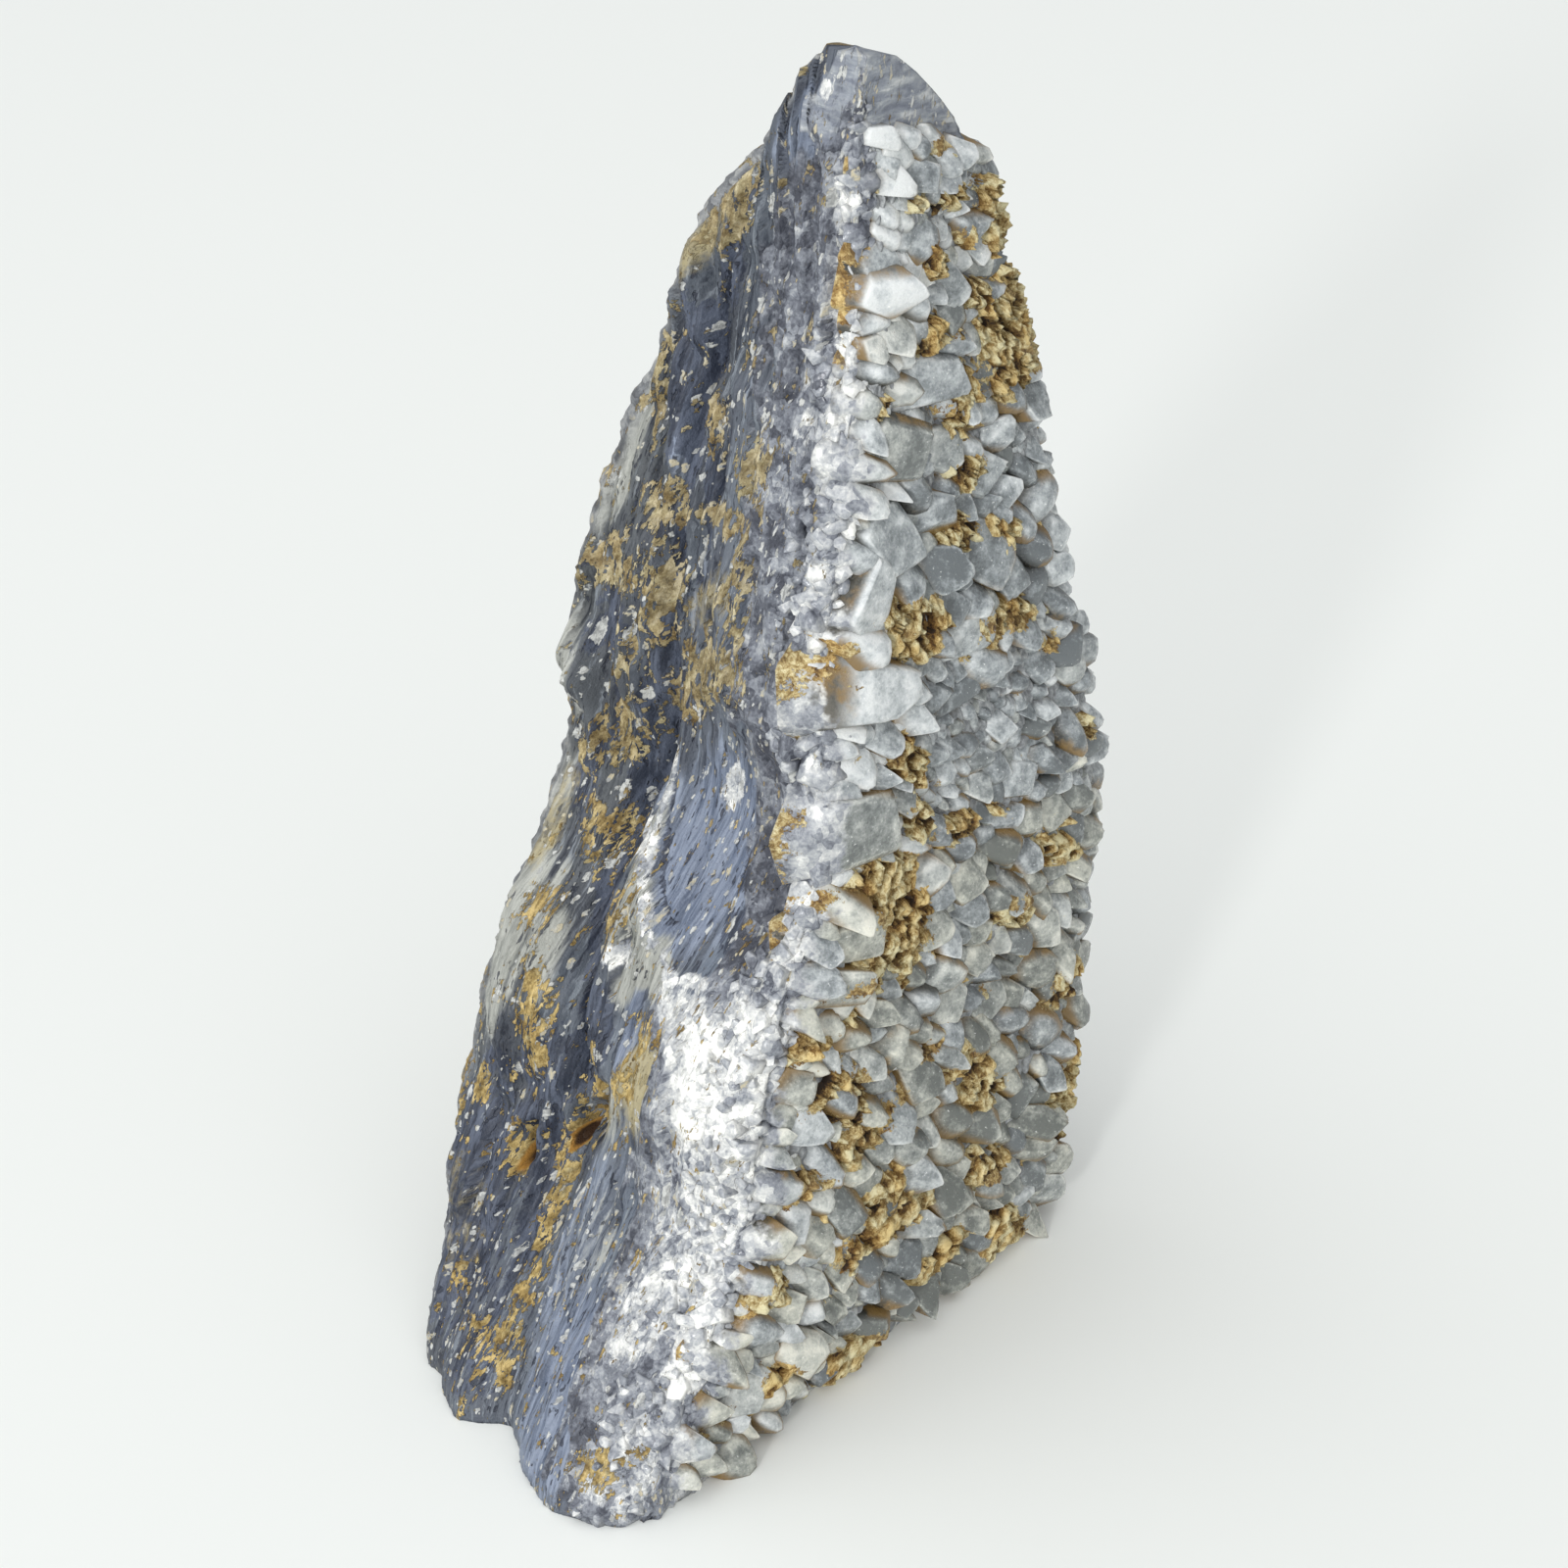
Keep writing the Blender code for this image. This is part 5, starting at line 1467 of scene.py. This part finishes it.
def crystal_material():
    """Pale milky quartz: grey in the body, lighter at the free rims by painted highlights, darker in the
    crevices by painted shade, and stained brown there.
    """
    material, tree, shader = new_material("milky_quartz")
    place = millimetres(tree)
    cloud = grain(tree, place, 2.4, 3.0, 0.6)
    sugar = grain(tree, place, 0.42, 3.0, 0.7, offset=3.0)
    below = field(tree, "below_top")

    # Milkiness: clouds and each crystal's own tone, then painted highlights on the free ends, rims and
    # edges, and painted light on the crystals near the ridge and near the top
    shade = add_share(tree, calc(tree, "MULTIPLY", cloud, 0.7), 0.3, field(tree, "tone"))
    shade = add_share(tree, shade, 0.4, sugar)
    free_end_highlight = calc(tree, "MULTIPLY", rise(tree, 0.3, 1.0, field(tree, "end")), rise(tree, 1.3, 0.4, below))
    shade = add_share(tree, shade, 0.13, free_end_highlight)
    shade = add_share(tree, shade, 0.12, rise(tree, 0.85, 1.0, field(tree, "rim")))
    # Painted highlight along the edges where facets meet
    wear_and_edge_highlight = calc(tree, "MULTIPLY", rise(tree, 0.3, 1.0, field(tree, "wear_and_edge_highlight")), calc(tree, "ADD", cloud, 0.3))
    shade = add_share(tree, shade, 0.13, wear_and_edge_highlight)
    # Painted light from the lit value
    shade = add_share(tree, shade, 0.14, field(tree, "lit"), 0.62)
    colour = colour_ramp(tree, shade, QUARTZ_COLOURS)
    warmth = calc(tree, "MULTIPLY", rise(tree, 0.45, 1.0, field(tree, "warmth")), 0.7)
    colour = blend(tree, warmth, colour, tinted(tree, colour, WARM_TINT))
    colour = blend(tree, rise(tree, 0.66, 0.73, sugar), colour, FROST)

    # Down in the crevices: painted shade, and brown stains
    low = calc(tree, "MULTIPLY", rise(tree, 0.35, 1.9, below), 0.95)
    colour = blend(tree, low, colour, tinted(tree, colour, CREVICE_SHADE_TINT))
    stained = add_share(tree, field(tree, "full"), 0.45, field(tree, "warmth"))
    stained = add_share(tree, stained, 1.5, cloud, 0.5)
    stain = calc(tree, "MULTIPLY", rise(tree, 0.4, 1.5, below), rise(tree, 0.1, 0.5, stained))
    colour = blend(tree, calc(tree, "MULTIPLY", stain, 0.8), colour, CREVICE_STAIN)

    # Crystals at the ridge go over into its sugary quartz, and clay lies on all that stand in it
    ridge = group_node(tree, sugar_nodes, {"Vector": place, "Whiteness": RIDGE_WHITENESS})
    merge = add_share(tree, field(tree, "merge"), 1.2, cloud, 0.5)
    colour = blend(tree, rise(tree, 0.35, 0.65, merge), colour, ridge["Color"])
    film = add_share(tree, field(tree, "clay"), 1.8, cloud, 0.5)
    film = add_share(tree, film, 1.2, sugar, 0.5)
    clay = group_node(tree, clay_nodes, {"Vector": place, "Amount": film, "Depth": 0.1})
    colour = blend(tree, clay["Mask"], colour, clay["Color"])
    tree.links.new(colour, shader.inputs["Base Color"])

    rough = calc(tree, "ADD", 0.1, calc(tree, "MULTIPLY", cloud, 0.28))
    rough = calc(tree, "ADD", rough, calc(tree, "MULTIPLY", clay["Mask"], 0.4), clamp=True)
    tree.links.new(rough, shader.inputs["Roughness"])
    height = add_share(tree, calc(tree, "MULTIPLY", sugar, 0.45), 0.35, cloud)
    height = add_share(tree, height, 1.0, calc(tree, "MULTIPLY", clay["Height"], clay["Mask"]))
    add_bump(tree, shader, height, 0.6, 0.0005)
    shader.inputs["Subsurface Weight"].default_value = 0.2
    shader.inputs["Subsurface Radius"].default_value = (1.0, 1.0, 1.1)
    shader.inputs["Subsurface Scale"].default_value = 0.0015
    return material


quartz = crystal_material()


def finish_crystals(piece, material):
    """Gives a piece of crystals its material and its place on the stone."""
    piece.data.materials.append(material)
    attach(piece, "root")


rng = np.random.default_rng(3)
shapes = np.array(list(OUTLINES.values()))
kinds = list(OUTLINES)
blocks = np.array([block[:8] for block in MAIN_BLOCKS.values()], dtype=float)
block_outlines = shapes[[kinds.index(block[8]) for block in MAIN_BLOCKS.values()]]
block_places = np.concatenate([section(blocks[:, 0], blocks[:, 1]), blocks[:, 1:2] * HEIGHT], axis=1)
block_sizes = np.sqrt(blocks[:, 2] * blocks[:, 3]) * BLOCK_CLEARANCE * MM
finish_crystals(crystal_mesh(
    "main_blocks", (blocks[:, 0], blocks[:, 1]), blocks[:, 2:5] * MM, np.radians(blocks[:, 5]),
    np.radians(blocks[:, 6]), np.full(len(blocks), BLOCK_SOFTNESS), blocks[:, 7], block_outlines,
    BLOCK_STEPS, rng, lines=BLOCK_CUTS), quartz)


def spread(rng, count, least, more):
    """Random values from the least to that much more."""
    return least + more * rng.random(count)


def sown_spans(rng, size, length, width, height):
    """Length, width and middle height of each crystal: its size times random shares of (least, more)."""
    shares = [spread(rng, len(size), *share) for share in (length, width, height)]
    return size[:, None] * np.stack(shares, axis=1)


share, up, size, taken = sow(CRYSTAL_SEED, *SOWN, (block_places, block_sizes))
rng = np.random.default_rng(CRYSTAL_SEED + 1)
count = len(share)
spans = sown_spans(rng, size, (1.15, 0.45), (0.9, 0.4), (0.38, 0.3))
headings = np.radians(HEADING + HEADING_SPREAD * (rng.random(count) - 0.5))
slope = np.radians(spread(rng, count, *SLOPE))
roundness = 0.9 * rng.random(count) ** 3
outlines = shapes[rng.integers(len(shapes), size=count)]
order = np.argsort(up)
for name, part in (("lower_crystals", order[:count // 2]), ("upper_crystals", order[count // 2:])):
    softness = spread(rng, len(part), *CRYSTAL_SOFTNESS)
    finish_crystals(crystal_mesh(
        name, (share[part], up[part]), spans[part], headings[part], slope[part], softness, roundness[part],
        outlines[part], CRYSTAL_STEPS, rng), quartz)

share, up, size, _ = sow(CRYSTAL_SEED + 2, *SOWN_SMALL, taken)
rng = np.random.default_rng(CRYSTAL_SEED + 3)
count = len(share)
spans = sown_spans(rng, size, (1.25, 0.5), (1.0, 0.4), (0.4, 0.4))
headings = np.radians(HEADING + SMALL_SPREAD * (rng.random(count) - 0.5))
slope = np.radians(spread(rng, count, *SMALL_SLOPE))
softness = spread(rng, count, *SMALL_SOFTNESS)
roundness = 0.6 * rng.random(count) ** 2
outlines = shapes[rng.integers(len(shapes), size=count)]
finish_crystals(crystal_mesh(
    "small_crystals", (share, up), spans, headings, slope, softness, roundness, outlines, SMALL_STEPS,
    rng), quartz)

# The sugary grains: little quartz crystals, white to grey, that crust the ridge where the two faces meet.
# Each one is grown from the sugary zone under it and stands out by less than its own width.
GRAINS_FROM = (-0.17, 0.008)
GRAINS_TO = (0.13, 0.975)
GRAIN_TRIES = 10000
GRAIN_SIZE = 0.0012
GRAIN_SPACING = 0.8
GRAIN_SLOPE = (5, 25)
GRAIN_SOFTNESS = (0.00003, 0.00005)
GRAIN_SINK = 0.0001
GRAIN_STEPS = (2, 2)
GRAIN_SEED = 21
FULL_TURN = 6.28
# Painted shade down the grains' sides
GRAIN_SIDE_SHADE = (0.1, 0.102, 0.12, 1)


def grain_material():
    """Sugary quartz in the colours of the zone that a grain stands on, with painted shade down its sides.
    """
    material, tree, shader = new_material("sugary_grains")
    tone = field(tree, "tone")
    whiteness = add_share(tree, calc(tree, "MULTIPLY", field(tree, "white"), 0.62), 0.7, tone, 0.1)
    sugar = group_node(tree, sugar_nodes, {"Vector": millimetres(tree), "Whiteness": whiteness})
    # Painted shade: darker down a grain's sides, towards the rock
    low = calc(tree, "MULTIPLY", rise(tree, 0.2, 1.4, field(tree, "below_top")), 0.3)
    tree.links.new(blend(tree, low, sugar["Color"], GRAIN_SIDE_SHADE), shader.inputs["Base Color"])
    tree.links.new(calc(tree, "ADD", 0.2, calc(tree, "MULTIPLY", tone, 0.25)), shader.inputs["Roughness"])
    add_bump(tree, shader, sugar["Height"], 0.4, 0.0004)
    return material


rng = np.random.default_rng(GRAIN_SEED)
around, up, chance, keep = rng.random((4, GRAIN_TRIES))
around = GRAINS_FROM[0] + (GRAINS_TO[0] - GRAINS_FROM[0]) * around
up = GRAINS_FROM[1] + (GRAINS_TO[1] - GRAINS_FROM[1]) * up
fields, _, stand = rock_fields(around % CORNERS, up)
on_ridge = ramp(-0.12, -0.02, around) * (1 - ramp(0.08, 0.14, around))
white = fields["white"] - 0.6 * fields["dark"]
kept = keep < ramp(0.4, 0.9, fields["sugar"]) * (0.25 + 0.75 * on_ridge)
around, up, stand, on_ridge, chance, white = (
    values[kept] for values in (around, up, stand, on_ridge, chance, white))
size = GRAIN_SIZE * (1 + 0.6 * chance**2) * (1 + 0.5 * on_ridge * chance)
place = np.concatenate([section(around % CORNERS, up), (up * HEIGHT)[:, None]], axis=1)
chosen, _ = clear_places(place, size, GRAIN_SPACING, (np.zeros((1, 3)), np.zeros(1)))
around, up, size, stand, white = (values[chosen] for values in (around, up, size, stand, white))
count = len(chosen)
spans = sown_spans(rng, size, (1.3, 0.6), (1.0, 0.4), (0.2, 0.3))
headings = FULL_TURN * rng.random(count)
slope = np.radians(spread(rng, count, *GRAIN_SLOPE))
softness = spread(rng, count, *GRAIN_SOFTNESS)
roundness = 0.4 * rng.random(count)
outlines = shapes[rng.integers(len(shapes), size=count)]
grains = crystal_mesh("sugary_grains", (around, up), spans, headings, slope, softness, roundness, outlines,
                      GRAIN_STEPS, rng, stand - GRAIN_SINK)
white = np.repeat(white, len(grains.data.vertices) // count)
attribute = grains.data.attributes.new("white", "FLOAT", "POINT")
attribute.data.foreach_set("value", white.astype(np.float32))
finish_crystals(grains, grain_material())

# The floor, the light and the camera: a plain pale floor in a room that is brightest at the upper left,
# with a small key lamp there, and the photograph's view from 30 degrees above.
FLOOR_RINGS = (0.02, 0.3, 1.0, 2.0, 4.0)
FLOOR_SIDES = 96
FLOOR_COLOUR = (0.83, 0.845, 0.815, 1)
FLOOR_ROUGHNESS = 0.6
CAMERA_TARGET = (0.00178, -0.00433, 0.088)
CAMERA_DISTANCE = 0.373
CAMERA_ELEVATION = math.radians(30)
CAMERA_FIELD = math.radians(30)
KEY_FROM = (-1.25, -3.1, 1.05)
KEY_SIZE = 0.4
KEY_POWER = 45.0
LIGHT_WAY = Vector((-0.4, -0.5, 0.75)).normalized()
ROOM_COLOUR = (0.97, 0.985, 1.0, 1)
ROOM_DARK = 0.36
ROOM_BRIGHT = 1.42

turn = np.arange(FLOOR_SIDES) * 2 * math.pi / FLOOR_SIDES
floor_rings = np.array(FLOOR_RINGS)[:, None]
ground = np.stack([floor_rings * np.cos(turn), floor_rings * np.sin(turn), 0 * floor_rings * turn], axis=-1)
ground_faces = ring_faces(len(FLOOR_RINGS), FLOOR_SIDES)[:, ::-1].tolist() + [tuple(range(FLOOR_SIDES))]
ground_plane = mesh_piece("floor", ground, ground_faces, {})
pale = bpy.data.materials.new("pale_floor")
pale.use_nodes = True
pale_shader = pale.node_tree.nodes["Principled BSDF"]
pale_shader.inputs["Base Color"].default_value = FLOOR_COLOUR
pale_shader.inputs["Roughness"].default_value = FLOOR_ROUGHNESS
ground_plane.data.materials.append(pale)

world = bpy.data.worlds.new("bright_room")
world.use_nodes = True
sky = world.node_tree.nodes["Background"]
sky.inputs["Color"].default_value = ROOM_COLOUR
way = add_node(world.node_tree, "ShaderNodeTexCoord").outputs["Generated"]
towards = add_node(world.node_tree, "ShaderNodeVectorMath", {0: way, 1: LIGHT_WAY},
                   operation="DOT_PRODUCT").outputs["Value"]
glow = add_node(world.node_tree, "ShaderNodeMapRange", {
    "Value": towards, "From Min": -0.2, "From Max": 1.0, "To Min": ROOM_DARK, "To Max": ROOM_BRIGHT},
    interpolation_type="SMOOTHSTEP").outputs["Result"]
world.node_tree.links.new(glow, sky.inputs["Strength"])
bpy.context.scene.world = world

lamp_data = bpy.data.lights.new("key", "AREA")
lamp_data.shape = "DISK"
lamp_data.size = KEY_SIZE
lamp_data.energy = KEY_POWER
lamp = bpy.data.objects.new("key", lamp_data)
lamp.location = KEY_FROM
lamp.rotation_euler = (Vector(CAMERA_TARGET) - Vector(KEY_FROM)).to_track_quat("-Z", "Y").to_euler()
bpy.context.scene.collection.objects.link(lamp)

camera_data = bpy.data.cameras.new("camera")
camera_data.angle = CAMERA_FIELD
camera = bpy.data.objects.new("camera", camera_data)
camera.location = (CAMERA_TARGET[0], CAMERA_TARGET[1] - CAMERA_DISTANCE * math.cos(CAMERA_ELEVATION),
                   CAMERA_TARGET[2] + CAMERA_DISTANCE * math.sin(CAMERA_ELEVATION))
camera.rotation_euler = (math.pi / 2 - CAMERA_ELEVATION, 0, 0)
bpy.context.scene.collection.objects.link(camera)
bpy.context.scene.camera = camera

bpy.context.scene.view_settings.view_transform = "Standard"
